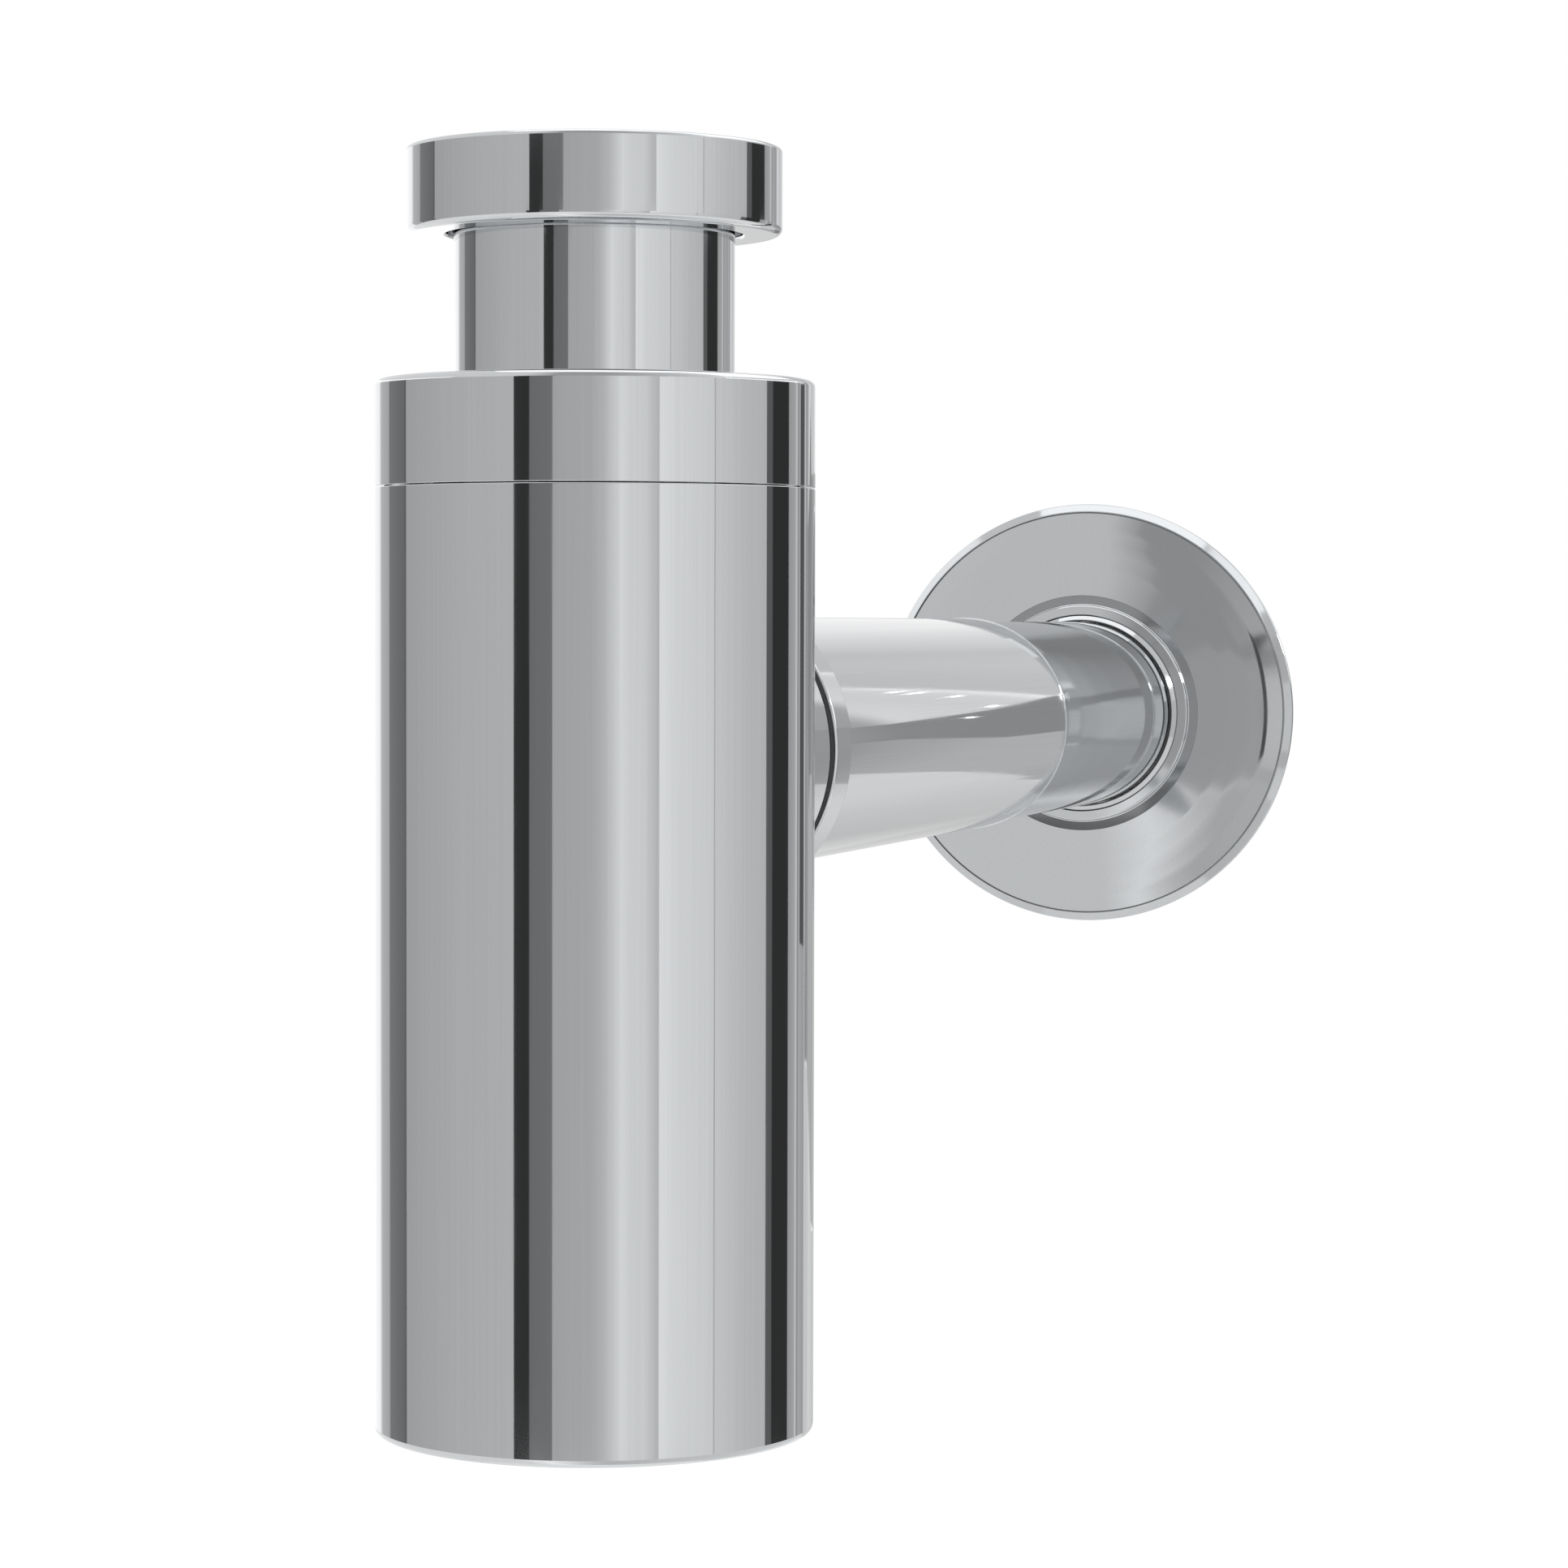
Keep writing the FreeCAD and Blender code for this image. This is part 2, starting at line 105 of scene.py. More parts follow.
class TrapSizes(bpy.types.PropertyGroup):
    """Sizes of the turned pieces that the frame's boxes don't give."""
    pipe_wall: length("Pipe wall", "Wall of the inlet and wall pipes", 1.0)
    hole_clearance: length("Hole clearance", "Room round the pipe in a nut's hole", 0.35)
    running_clearance: length("Running clearance", "Room between pieces that slide on each other", 0.05)
    loose_clearance: length("Loose clearance", "Room between pieces that don't touch", 0.3)
    fine_round: length("Fine round", "Broken edge of thin walls", 0.2)
    edge_round: length("Edge round", "Turned edge round", 0.4)
    fillet: length("Fillet", "Inside corner of a turned piece", 1.0)
    sleeve_wall: length("Sleeve wall", "Wall of the cover sleeves", 0.5)
    thread_radius: length("Thread radius", "Outer radius of the pipe thread", 20.95)
    thread_depth: length("Thread depth", "Depth of the pipe thread", 1.45)
    thread_pitch: length("Thread pitch", "Rise of one thread turn, 11 to the inch", 25.4 / 11)
    thread_chamfer: length("Thread chamfer", "Lead-in at a thread's mouth", 0.7)
    thread_crest: length("Thread crest", "Flat on top of a thread", 0.45)
    nut_pocket_depth: length("Nut pocket depth", "Depth of the sleeve's pocket under the inlet nut", 1.5)
    nut_pocket_clearance: length("Nut pocket clearance", "Room round the sleeve in that pocket", 1.05)
    nut_shoulder: length("Nut shoulder", "Thickness of the inlet nut's shoulder", 1.4)
    nut_thread_start: length("Nut thread start", "Height of the inlet nut's first thread", -0.3)
    nut_top_round: length("Nut top round", "Round of the inlet nut's top edge", 0.5)
    nut_foot_round: length("Nut foot round", "Round of the inlet nut's lower edge", 1.1)
    flange_thickness: length("Flange thickness", "Flange that the inlet nut lifts", 1.2)
    cap_plate: length("Cap plate", "Thickness of the head cap's top", 3.2)
    cap_skirt: length("Cap skirt", "Wall of the head cap's skirt", 1.8)
    cap_hub: length("Cap hub", "Wall of the head cap's threaded hub", 2.4)
    cap_round: length("Cap round", "Round of the head cap's top edge", 0.9)
    seam_round: length("Seam round", "Edges either side of the cap's seam", 0.1)
    seam_lip: length("Seam lip", "How far the shell's edge rises into that seam", 0.2)
    shell_wall: length("Shell wall", "Wall of the body shell", 1.5)
    shell_floor: length("Shell floor", "Floor of the body shell", 2.0)
    bush_height: length("Bush height", "Threaded bush for the cleaning plug", 11.0)
    bush_wall: length("Bush wall", "Wall of that bush", 2.0)
    plug_overhang: length("Plug overhang", "How far the cleaning plug's head stands past its thread", 3.1)
    spigot_radius: length("Spigot radius", "Tube of the outlet boss inside the shell", 18.85)
    spigot_start: length("Spigot start", "Where the boss's tube starts inside the shell", 20.0)
    pipe_stop: length("Pipe stop", "Length of the stop that the wall pipe can't pass", 2.0)
    neck_chamfer: length("Neck chamfer", "Lead-in of the neck's thread", 0.6)
    seat_depth: length("Seat depth", "Depth of the conical seat in the neck", 5.0)
    seat_width: length("Seat width", "Width of that seat at its mouth", 3.4)
    outlet_plate: length("Outlet nut plate", "Thickness of the outlet nut's end", 1.8)
    outlet_round: length("Outlet nut round", "Round of the outlet nut's far edge", 0.8)
    mark_offset: length("Depth mark offset", "Groove behind the wall face", 0.6)
    mark_depth: length("Depth mark depth", "Depth of that groove", 0.25)
    pipe_chamfer: length("Pipe chamfer", "Chamfer at the wall pipe's end", 1.0)
    bead_length: length("Bead length", "Rolled end of the outer sleeve", 0.6)
    bead_height: length("Bead height", "Rise of the rolled end", 0.15)
    rosette_sheet: length("Rosette sheet", "Sheet that the rosette is spun from", 1.0)
    rim_width: length("Rim width", "Width of the rosette's rim", 1.8)
    rim_height: length("Rim height", "How far the rim stands off the wall", 2.0)
    rim_step: length("Rim step", "Depth of the line inside the rim", 0.3)
    rim_crease: length("Rim crease", "Depth of the fine line inside the rim", 0.12)
    rim_bevel: length("Rim bevel", "Width of the rim's outer slope", 1.5)
    rim_bevel_depth: length("Rim bevel depth", "Depth of that slope", 1.0)
    dish_edge_width: length("Dish edge width", "Steep band next to the rim", 3.0)
    dish_edge_rise: length("Dish edge rise", "Rise of that band", 1.17)
    dish_middle_width: length("Dish middle width", "Band inside the steep one", 3.6)
    dish_middle_rise: length("Dish middle rise", "Rise of that band", 0.83)
    dish_face_width: length("Dish face width", "Band inside the middle one", 4.0)
    dish_face_rise: length("Dish face rise", "Rise of that band", 0.67)
    dish_centre_rise: length("Dish centre rise", "Rise from there to the collar's land", 0.83)
    dish_edge_round: length("Dish edge round", "Round between the steep and middle bands", 12.0)
    dish_round: length("Dish round", "Round between the other bands", 30.0)
    collar_wall: length("Collar wall", "Wall of the rosette's collar", 1.4)
    collar_land: length("Collar land", "Flat ring round the collar", 2.0)
    collar_round: length("Collar round", "Round of the collar's front edge", 0.5)
    collar_bead: length("Collar bead", "Width of the bead that closes on the sleeve", 0.9)
    collar_bead_rise: length("Collar bead rise", "How far that bead stands out", 0.8)
    collar_slope: length("Collar slope", "How far the collar's front falls back to its edge", 0.3)
    collar_crease: length("Collar crease", "Small groove at the bead's foot", 0.15)
    collar_recess: length("Collar recess", "Depth where the recess for the grip ring starts", 1.7)
    grip_ring_gap: length("Grip ring gap", "Room between the sleeve and that recess", 2.0)
    support: length("Support line", "Line of vertices beside a round, for clean reflections", 0.08)
    turn_steps: IntProperty(name="Turn steps", description="Steps round a turned piece", default=192)
    arc_steps: IntProperty(name="Arc steps", description="Steps in a right-angled round", default=6)


class TrapColours(bpy.types.PropertyGroup):
    """Colours of the materials."""
    chrome: colour("Chrome", "Polished chrome plate", "#CFD1D3")
    chrome_haze: colour("Chrome haze", "The plate where polishing lines scatter light", "#C6C8CA")
    spun: colour("Spun chrome", "Chrome plate over spun sheet", "#BCBEC0")
    spun_haze: colour("Spun chrome haze", "That plate along its spinning lines", "#B5B7B9")
    brass: colour("Brass", "Bare brass of the inlet nut's thread", "#B5904F")
    brass_dark: colour("Brass groove", "Oxide in the turning lines", "#8F6D38")
    rubber: colour("Rubber", "Black nitrile rubber", "#18181A")
    rubber_bloom: colour("Rubber bloom", "Grey bloom on the rubber", "#2A2A2C")
    plastic: colour("Plastic", "White polyethylene", "#F0F0F0")
    plastic_shade: colour("Plastic shade", "Slightly duller moulding flow", "#E6E6E6")
    floor: colour("Floor", "Pale matt paper", "#F4F4F4")
    fibre: colour("Paper fibres", "Slightly darker fibres in that paper", "#F1F1F0")


class StudioSettings(bpy.types.PropertyGroup):
    """Camera, lamps, floor and reflector cards."""
    lens: number("Lens", "Focal length in millimetres", 102.48)
    sensor_width: number("Sensor width", "Width of the camera's sensor in millimetres", 36.0)
    clip_start: length("Clip start", "Nearest distance that the camera shows", 10.0)
    clip_end: length("Clip end", "Furthest distance that the camera shows", 50000.0)
    azimuth: angle("Azimuth", "Camera's turn round the trap", 16.03)
    elevation: angle("Elevation", "Camera's tilt down", 2.08)
    roll: angle("Roll", "Camera's roll", 0.12)
    camera_place: place("Camera place", "Where the camera stands", (0.19248, -0.57643, -0.05873))
    floor_height: length("Floor height", "Height of the floor", -900.0)
    floor_reach: length("Floor reach", "Half of the floor's width", 6000.0)
    ambient: number("Ambient", "Strength of the even light", 0.8)
    key_power: number("Key lamp", "Power of the soft key lamp in watts", 9.0)
    key_size: length("Key lamp size", "Width of that lamp", 800.0)
    key_place: place("Key lamp place", "Where that lamp hangs", (0.9, -0.9, 1.1))
    key_target: place("Key lamp target", "Where that lamp points", (0, 0.1, -0.1))
    ring_radius: length("Card ring", "Distance of the body's reflector cards", 2500.0)
    ring_foot: length("Card ring foot", "Lowest height of those cards", -650.0)
    ring_top: length("Card ring top", "Greatest height of those cards", 300.0)
    ring_break: length("Card ring break", "Height where the cards step sideways", 215.0)
    lean: number("Card lean", "How much they step, as a share of the angle", 0.026)
    near_radius: length("Near ring", "Distance of the cards above and below the trap", 300.0)
    near_top: length("Near ring top", "Greatest height of those cards", 500.0)
    near_break: length("Near ring break", "Height between the two rows at the right", 100.0)
    near_gap_top: length("Near gap top", "Lowest height of the ones above", 38.0)
    near_gap_foot: length("Near gap foot", "Greatest height of the ones below", -222.0)
    near_foot: length("Near ring foot", "Lowest height of those cards", -700.0)
    arm_radius: length("Arm boards", "Distance of the boards behind the rosette", 1200.0)
    zenith_height: length("Zenith height", "Height of the bright board overhead", 2000.0)
    zenith_reach: length("Zenith reach", "Half of that board's width", 1000.0)
    zenith_glow: number("Zenith glow", "Brightness of that board", 1.8)
    side_card_place: length("Side card place", "Where the cards beside the arm stand along it", 150.0)
    spark_place: length("Spark place", "Where the small lamps behind the rosette stand", 385.0)
    spark_size: length("Spark size", "Width of those lamps", 0.8)
    spark_glow: number("Spark glow", "Brightness of those lamps", 12.0)
    lamp_radius: length("Rim lamp distance", "Distance of the lamp that shows in rims", 2375.0)
    lamp_height: length("Rim lamp height", "Height of that lamp", 900.0)
    lamp_size: length("Rim lamp size", "How tall that lamp is", 300.0)
    lamp_glow: number("Rim lamp glow", "Brightness of that lamp", 20.0)


def sizes():
    return bpy.context.scene.trap_sizes


def colours():
    return bpy.context.scene.trap_colours


def span(node, axis):
    """Outer radius of a round CAD node, and its two ends along its axis."""
    low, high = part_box(node)
    return high[0], low[axis], high[axis]


def pipe_radius():
    return span("wall_tube", along_arm)[0]


def arm_height():
    low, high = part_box("wall_tube")
    return (low[2] + high[2]) / 2


def add_node(tree, kind, settings=None, inputs=None):
    """Add a node, set its properties, and fill its inputs with values or with other nodes' outputs."""
    node = tree.nodes.new(kind)
    for key, value in (settings or {}).items():
        setattr(node, key, value)
    for key, value in (inputs or {}).items():
        if isinstance(value, bpy.types.NodeSocket):
            tree.links.new(value, node.inputs[key])
        else:
            node.inputs[key].default_value = value
    return node


# Materials
def start_material(name):
    """New node material, with its tree, its shader and its object coordinates."""
    made = bpy.data.materials.new(name)
    made.use_nodes = True
    tree = made.node_tree
    where = add_node(tree, "ShaderNodeTexCoord").outputs["Object"]
    return made, tree, tree.nodes["Principled BSDF"], where


def grain(tree, where, fine, coarse, axis, detail=2.0):
    """Noise that is fine across an axis and coarse along it, both in millimetres."""
    scale = [1 / (fine * millimetre)] * 3
    scale[axis] = 1 / (coarse * millimetre)
    mapping = add_node(tree, "ShaderNodeMapping", inputs={"Vector": where, "Scale": scale})
    noise = add_node(tree, "ShaderNodeTexNoise", inputs={
        "Vector": mapping.outputs["Vector"], "Scale": 1.0, "Detail": detail, "Roughness": 0.6})
    return noise.outputs["Fac"]


def coat(tree, shader, tints, tint_factor, roughness, rough_factor, relief=None, strength=0, height=0):
    """Colour between two tints and roughness between two limits, each by a factor, and a relief up to
    a height in millimetres."""
    tint = add_node(tree, "ShaderNodeMix", {"data_type": "RGBA"}, {
        "Factor": tint_factor, 6: (*tints[0], 1), 7: (*tints[1], 1)})
    dullness = add_node(tree, "ShaderNodeMapRange", inputs={
        "Value": rough_factor, "From Min": 0.3, "From Max": 0.7, "To Min": roughness[0],
        "To Max": roughness[1]})
    tree.links.new(tint.outputs[2], shader.inputs["Base Color"])
    tree.links.new(dullness.outputs["Result"], shader.inputs["Roughness"])
    if relief:
        bump = add_node(tree, "ShaderNodeBump", inputs={
            "Height": relief, "Strength": strength, "Distance": height * millimetre})
        tree.links.new(bump.outputs["Normal"], shader.inputs["Normal"])


def chrome_plate(name, axis, spun=False):
    """Chrome plate over turned and polished brass: a bluish mirror, with polishing lines so fine that
    they only soften it, and patches where the wheel pressed less and left it hazier. Spun sheet is
    hazier and a little greyer all over than turned bar."""
    made, tree, shader, where = start_material(name)
    tints, roughness = (colours().chrome, colours().chrome_haze), (0.025, 0.06)
    if spun:
        tints, roughness = (colours().spun, colours().spun_haze), (0.06, 0.1)
    lines = grain(tree, where, fine=0.35, coarse=60, axis=axis)
    smudge = grain(tree, where, fine=14, coarse=30, axis=axis, detail=3.0)
    coat(tree, shader, tints, lines, roughness, smudge, relief=lines, strength=0.02, height=0.02)
    shader.inputs["Metallic"].default_value = 1.0
    return made


def turned_brass():
    """Brass turned on a lathe and left bare: warm, with fine rings round the axis that dull it."""
    made, tree, shader, where = start_material("turned_brass")
    cut_spacing = 0.25 * millimetre
    bands_a_unit = 20
    rings = add_node(tree, "ShaderNodeTexWave", {"wave_type": "BANDS", "bands_direction": "Z"}, {
        "Vector": where, "Scale": 1 / cut_spacing / bands_a_unit, "Distortion": 0.4, "Detail": 1.0})
    factor = rings.outputs["Fac"]
    coat(tree, shader, (colours().brass, colours().brass_dark), factor, (0.22, 0.38), factor)
    shader.inputs["Metallic"].default_value = 1.0
    return made


def moulded_rubber():
    """Black nitrile rubber from a steel mould: matt, with a fine grain and a faint grey bloom."""
    made, tree, shader, where = start_material("moulded_rubber")
    bloom = grain(tree, where, fine=3, coarse=3, axis=upright, detail=4.0)
    skin = grain(tree, where, fine=0.12, coarse=0.12, axis=upright)
    tints = colours().rubber, colours().rubber_bloom
    coat(tree, shader, tints, bloom, (0.5, 0.7), bloom, relief=skin, strength=0.3, height=0.03)
    return made


def moulded_polyethylene():
    """White polyethylene from a mould: waxy, a little translucent, with soft flow marks."""
    made, tree, shader, where = start_material("moulded_polyethylene")
    flow = grain(tree, where, fine=4, coarse=9, axis=upright, detail=3.0)
    coat(tree, shader, (colours().plastic, colours().plastic_shade), flow, (0.32, 0.45), flow)
    shader.inputs["IOR"].default_value = 1.51
    shader.inputs["Subsurface Weight"].default_value = 0.1
    shader.inputs["Subsurface Scale"].default_value = 0.5 * millimetre
    return made


def seen_background(tree):
    """Factor that is one where the camera sees a surface, by itself or through metal or glass."""
    paths = add_node(tree, "ShaderNodeLightPath").outputs
    seen = paths["Is Camera Ray"]
    for kind in ("Is Glossy Ray", "Is Transmission Ray"):
        either = add_node(tree, "ShaderNodeMath", {"operation": "MAXIMUM"}, {0: seen, 1: paths[kind]})
        seen = either.outputs[0]
    return seen


def matt_paper():
    """Seamless studio paper: flat and pale, lifted a little where the camera or the metal sees it so
    that it reads as white, while it keeps the trap's shadow."""
    made, tree, shader, where = start_material("matt_paper")
    fibres = grain(tree, where, fine=2, coarse=5, axis=0, detail=4.0)
    coat(tree, shader, (colours().floor, colours().fibre), fibres, (0.9, 0.9), fibres)
    shader.inputs["Specular IOR Level"].default_value = 0.1
    paper_lift = 0.3
    lift = add_node(tree, "ShaderNodeMath", {"operation": "MULTIPLY"}, {
        0: seen_background(tree), 1: paper_lift})
    shader.inputs["Emission Color"].default_value = (1, 1, 1, 1)
    tree.links.new(lift.outputs[0], shader.inputs["Emission Strength"])
    return made


def reflector_card(name, nearest=0.0, furthest=0.0):
    """Painted board that only the polished metal sees. Its glow attribute is its brightness. Given two
    distances in millimetres, metal outside them, or that sees the board in other metal, looks through
    it."""
    made = bpy.data.materials.new(name)
    made.use_nodes = True
    tree = made.node_tree
    tree.nodes.remove(tree.nodes["Principled BSDF"])
    glow = add_node(tree, "ShaderNodeAttribute", {"attribute_name": "glow"})
    light = add_node(tree, "ShaderNodeEmission", inputs={"Strength": glow.outputs["Fac"]}).outputs[0]
    if furthest:
        path = add_node(tree, "ShaderNodeLightPath").outputs
        middle = (furthest + nearest) / 2 * millimetre
        within = add_node(tree, "ShaderNodeMath", {"operation": "COMPARE"}, {
            0: path["Ray Length"], 1: middle, 2: middle - nearest * millimetre})
        between_first_and_second = 1.5
        direct = add_node(tree, "ShaderNodeMath", {"operation": "LESS_THAN"}, {
            0: path["Glossy Depth"], 1: between_first_and_second})
        seen = add_node(tree, "ShaderNodeMath", {"operation": "MULTIPLY"}, {
            0: within.outputs[0], 1: direct.outputs[0]})
        clear = add_node(tree, "ShaderNodeBsdfTransparent")
        light = add_node(tree, "ShaderNodeMixShader", inputs={
            0: seen.outputs[0], 1: clear.outputs[0], 2: light}).outputs[0]
    tree.links.new(light, tree.nodes["Material Output"].inputs["Surface"])
    return made


def material(name):
    """Each material, made once."""
    makers = {
        "upright_chrome": lambda: chrome_plate("upright_chrome", upright),
        "arm_chrome": lambda: chrome_plate("arm_chrome", along_arm),
        "spun_chrome": lambda: chrome_plate("spun_chrome", along_arm, spun=True),
        "turned_brass": turned_brass,
        "moulded_rubber": moulded_rubber,
        "moulded_polyethylene": moulded_polyethylene,
        "matt_paper": matt_paper,
        "reflector_card": lambda: reflector_card("reflector_card"),
        "rosette_card": lambda: reflector_card("rosette_card", nearest=158, furthest=1000),
        "spark_card": lambda: reflector_card("spark_card", furthest=360),
    }
    return bpy.data.materials.get(name) or makers[name]()


# Outlines and turning
def rounded(points):
    """Points of a closed outline through (radius, height) corners, clockwise; a third number rounds a
    corner. Every straight run gets a vertex just inside each end, so that its shading stays flat."""
    corners = [Vector((point[0], point[1])) for point in points]
    shortest_run = 1e-7
    arcs = []
    for i, point in enumerate(points):
        before = corners[i - 1] - corners[i]
        after = corners[(i + 1) % len(corners)] - corners[i]
        if len(point) < 3:
            arcs.append([corners[i]])
            continue
        half_angle = before.angle(after) / 2
        setback = min(point[2] / math.tan(half_angle), before.length / 2, after.length / 2)
        radius = setback * math.tan(half_angle)
        bisector = (before.normalized() + after.normalized()).normalized()
        centre = corners[i] + bisector * (radius / math.sin(half_angle))
        start = corners[i] + before.normalized() * setback - centre
        end = corners[i] + after.normalized() * setback - centre
        swing = start.angle_signed(end)
        steps = max(2, math.ceil(sizes().arc_steps * abs(swing) / (math.pi / 2)))
        arcs.append([centre + Matrix.Rotation(-swing * k / steps, 2) @ start for k in range(steps + 1)])
    line = []
    for i, arc in enumerate(arcs):
        following = arcs[(i + 1) % len(arcs)][0]
        line.extend(arc)
        run = following - arc[-1]
        inset = min(sizes().support, run.length / 4)
        if run.length > shortest_run:
            line.append(arc[-1] + run.normalized() * inset)
            line.append(following - run.normalized() * inset)
    area = sum(a.x * b.y - b.x * a.y for a, b in zip(line, line[1:] + line[:1]))
    return line if area < 0 else line[::-1]


def new_tree(name, inputs):
    """Geometry Nodes tree with named inputs, and its input and output nodes."""
    tree = bpy.data.node_groups.new(name, "GeometryNodeTree")
    tree.interface.new_socket("Geometry", in_out="INPUT", socket_type="NodeSocketGeometry")
    for label, kind in inputs.items():
        tree.interface.new_socket(label, in_out="INPUT", socket_type=kind)
    tree.interface.new_socket("Geometry", in_out="OUTPUT", socket_type="NodeSocketGeometry")
    return tree, tree.nodes.new("NodeGroupInput").outputs


def finish_tree(tree, surface, given):
    """Shade a tree's surface smooth but for its sharp edges, place it, and set its material."""
    smooth = add_node(tree, "GeometryNodeSetShadeSmooth", inputs={"Geometry": surface, "Shade Smooth": True})
    edge_angle = add_node(tree, "GeometryNodeInputMeshEdgeAngle")
    gentle = add_node(tree, "FunctionNodeCompare", {"data_type": "FLOAT", "operation": "LESS_THAN"}, {
        0: edge_angle.outputs["Unsigned Angle"], 1: sharp_edge})
    edges = add_node(tree, "GeometryNodeSetShadeSmooth", {"domain": "EDGE"}, {
        "Geometry": smooth.outputs[0], "Shade Smooth": gentle.outputs[0]})
    placed = add_node(tree, "GeometryNodeTransform", inputs={
        "Geometry": edges.outputs[0], "Translation": given["Place"], "Rotation": given["Tilt"]})
    real = add_node(tree, "GeometryNodeRealizeInstances", inputs={"Geometry": placed.outputs[0]})
    painted = add_node(tree, "GeometryNodeSetMaterial", inputs={
        "Geometry": real.outputs[0], "Material": given["Material"]})
    out = tree.nodes.new("NodeGroupOutput")
    tree.links.new(painted.outputs[0], out.inputs[0])
    return tree


def turning_tree():
    """Turns an outline, drawn as radius less the spine's radius and height downwards, round an axis."""
    if "Turned piece" in bpy.data.node_groups:
        return bpy.data.node_groups["Turned piece"]
    tree, given = new_tree("Turned piece", {
        "Turn steps": "NodeSocketInt", "Spine radius": "NodeSocketFloat", "Tilt": "NodeSocketVector",
        "Place": "NodeSocketVector", "Material": "NodeSocketMaterial"})
    outline = add_node(tree, "GeometryNodeMeshToCurve", inputs={"Mesh": given["Geometry"]})
    spine = add_node(tree, "GeometryNodeCurvePrimitiveCircle", inputs={
        "Resolution": given["Turn steps"], "Radius": given["Spine radius"]})
    level = add_node(tree, "GeometryNodeSetCurveNormal", {"mode": "Z_UP"}, {"Curve": spine.outputs[0]})
    surface = add_node(tree, "GeometryNodeCurveToMesh", inputs={
        "Curve": level.outputs[0], "Profile Curve": outline.outputs[0]})
    return finish_tree(tree, surface.outputs[0], given)


def thread_tree():
    """Winds an outline of one tooth along a right-handed helix, thinned to nothing at both ends."""
    if "Thread" in bpy.data.node_groups:
        return bpy.data.node_groups["Thread"]
    tree, given = new_tree("Thread", {
        "Turns": "NodeSocketFloat", "Rise": "NodeSocketFloat", "Radius": "NodeSocketFloat",
        "Steps": "NodeSocketInt", "Tilt": "NodeSocketVector", "Place": "NodeSocketVector",
        "Material": "NodeSocketMaterial"})
    outline = add_node(tree, "GeometryNodeMeshToCurve", inputs={"Mesh": given["Geometry"]})
    helix = add_node(tree, "GeometryNodeCurveSpiral", inputs={
        "Resolution": given["Steps"], "Rotations": given["Turns"], "Start Radius": given["Radius"],
        "End Radius": given["Radius"], "Height": given["Rise"]})
    level = add_node(tree, "GeometryNodeSetCurveNormal", {"mode": "Z_UP"}, {"Curve": helix.outputs[0]})
    along = add_node(tree, "GeometryNodeSplineParameter").outputs["Factor"]
    thinned_share = 0.12
    tip = 0.02
    fade_in, fade_out = (
        add_node(tree, "ShaderNodeMapRange", inputs={
            "Value": along, "From Min": end, "From Max": full, "To Min": tip}).outputs[0]
        for end, full in ((0, thinned_share), (1, 1 - thinned_share)))
    fade = add_node(tree, "ShaderNodeMath", {"operation": "MINIMUM"}, {0: fade_in, 1: fade_out})
    surface = add_node(tree, "GeometryNodeCurveToMesh", inputs={
        "Curve": level.outputs[0], "Profile Curve": outline.outputs[0], "Fill Caps": True})
    tree.links.new(fade.outputs[0], surface.inputs["Scale"])
    return finish_tree(tree, surface.outputs[0], given)


def new_mesh(name, points, faces, edges=()):
    """New mesh from points and from faces or edges between them."""
    mesh = bpy.data.meshes.new(name)
    mesh.from_pydata(points, edges, faces)
    return mesh


def add_object(name, data):
    """New object in the scene."""
    item = bpy.data.objects.new(name, data)
    bpy.context.scene.collection.objects.link(item)
    return item


def apply_modifier(piece, modifier):
    """Give a piece the mesh that its only modifier makes, and remove the modifier."""
    evaluated = piece.evaluated_get(bpy.context.evaluated_depsgraph_get())
    result = bpy.data.meshes.new_from_object(evaluated)
    piece.modifiers.remove(modifier)
    piece.data = result


def through_tree(name, line, tree, values):
    """Object whose mesh is the tree's result for a closed line of (x, y) points."""
    edges = [(i, (i + 1) % len(line)) for i in range(len(line))]
    source = new_mesh(name, [(point[0], point[1], 0) for point in line], [], edges)
    piece = add_object(name, source)
    modifier = piece.modifiers.new(tree.name, "NODES")
    modifier.node_group = tree
    for socket in tree.interface.items_tree:
        if socket.in_out == "INPUT" and socket.name in values:
            modifier[socket.identifier] = values[socket.name]
    apply_modifier(piece, modifier)
    bpy.data.meshes.remove(source)
    return piece


def turn(name, points, axis, finish=None):
    """Piece turned about the inlet's or the arm's axis from an outline of (radius, height) corners. It
    is chromed unless told otherwise."""
    spine = sum(point[0] for point in points) / len(points)
    line = [(point.x - spine, -point.y) for point in rounded(points)]
    level = axis == along_arm
    return through_tree(name, line, turning_tree(), {
        "Turn steps": sizes().turn_steps,
        "Spine radius": spine,
        "Tilt": (-math.pi / 2, 0, 0) if level else (0, 0, 0),
        "Place": (0, 0, arm_height()) if level else (0, 0, 0),
        "Material": material(finish or turned_chrome[axis]),
    })


def wind_thread(name, root, start, end, finish):
    """Inside thread of one tooth on the inlet's axis, wound from start to end."""
    s = sizes()
    root_share = 0.42
    half_root = s.thread_pitch * root_share
    half_crest = s.thread_crest / 2
    tooth = [(0, half_root), (-s.thread_depth, half_crest), (-s.thread_depth, -half_crest), (0, -half_root)]
    rise = end - start - s.thread_pitch
    turns = rise / s.thread_pitch
    return through_tree(name, tooth, thread_tree(), {
        "Turns": turns,
        "Rise": rise,
        "Radius": root,
        "Steps": round(s.turn_steps / 2 * turns),
        "Tilt": (0, 0, 0),
        "Place": (0, 0, start + s.thread_pitch / 2),
        "Material": material(finish),
    })


def stand_for(piece, node):
    """The piece takes the place of a CAD node, on its body; the node is hidden."""
    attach(piece, bodies[node])
    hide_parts(node)


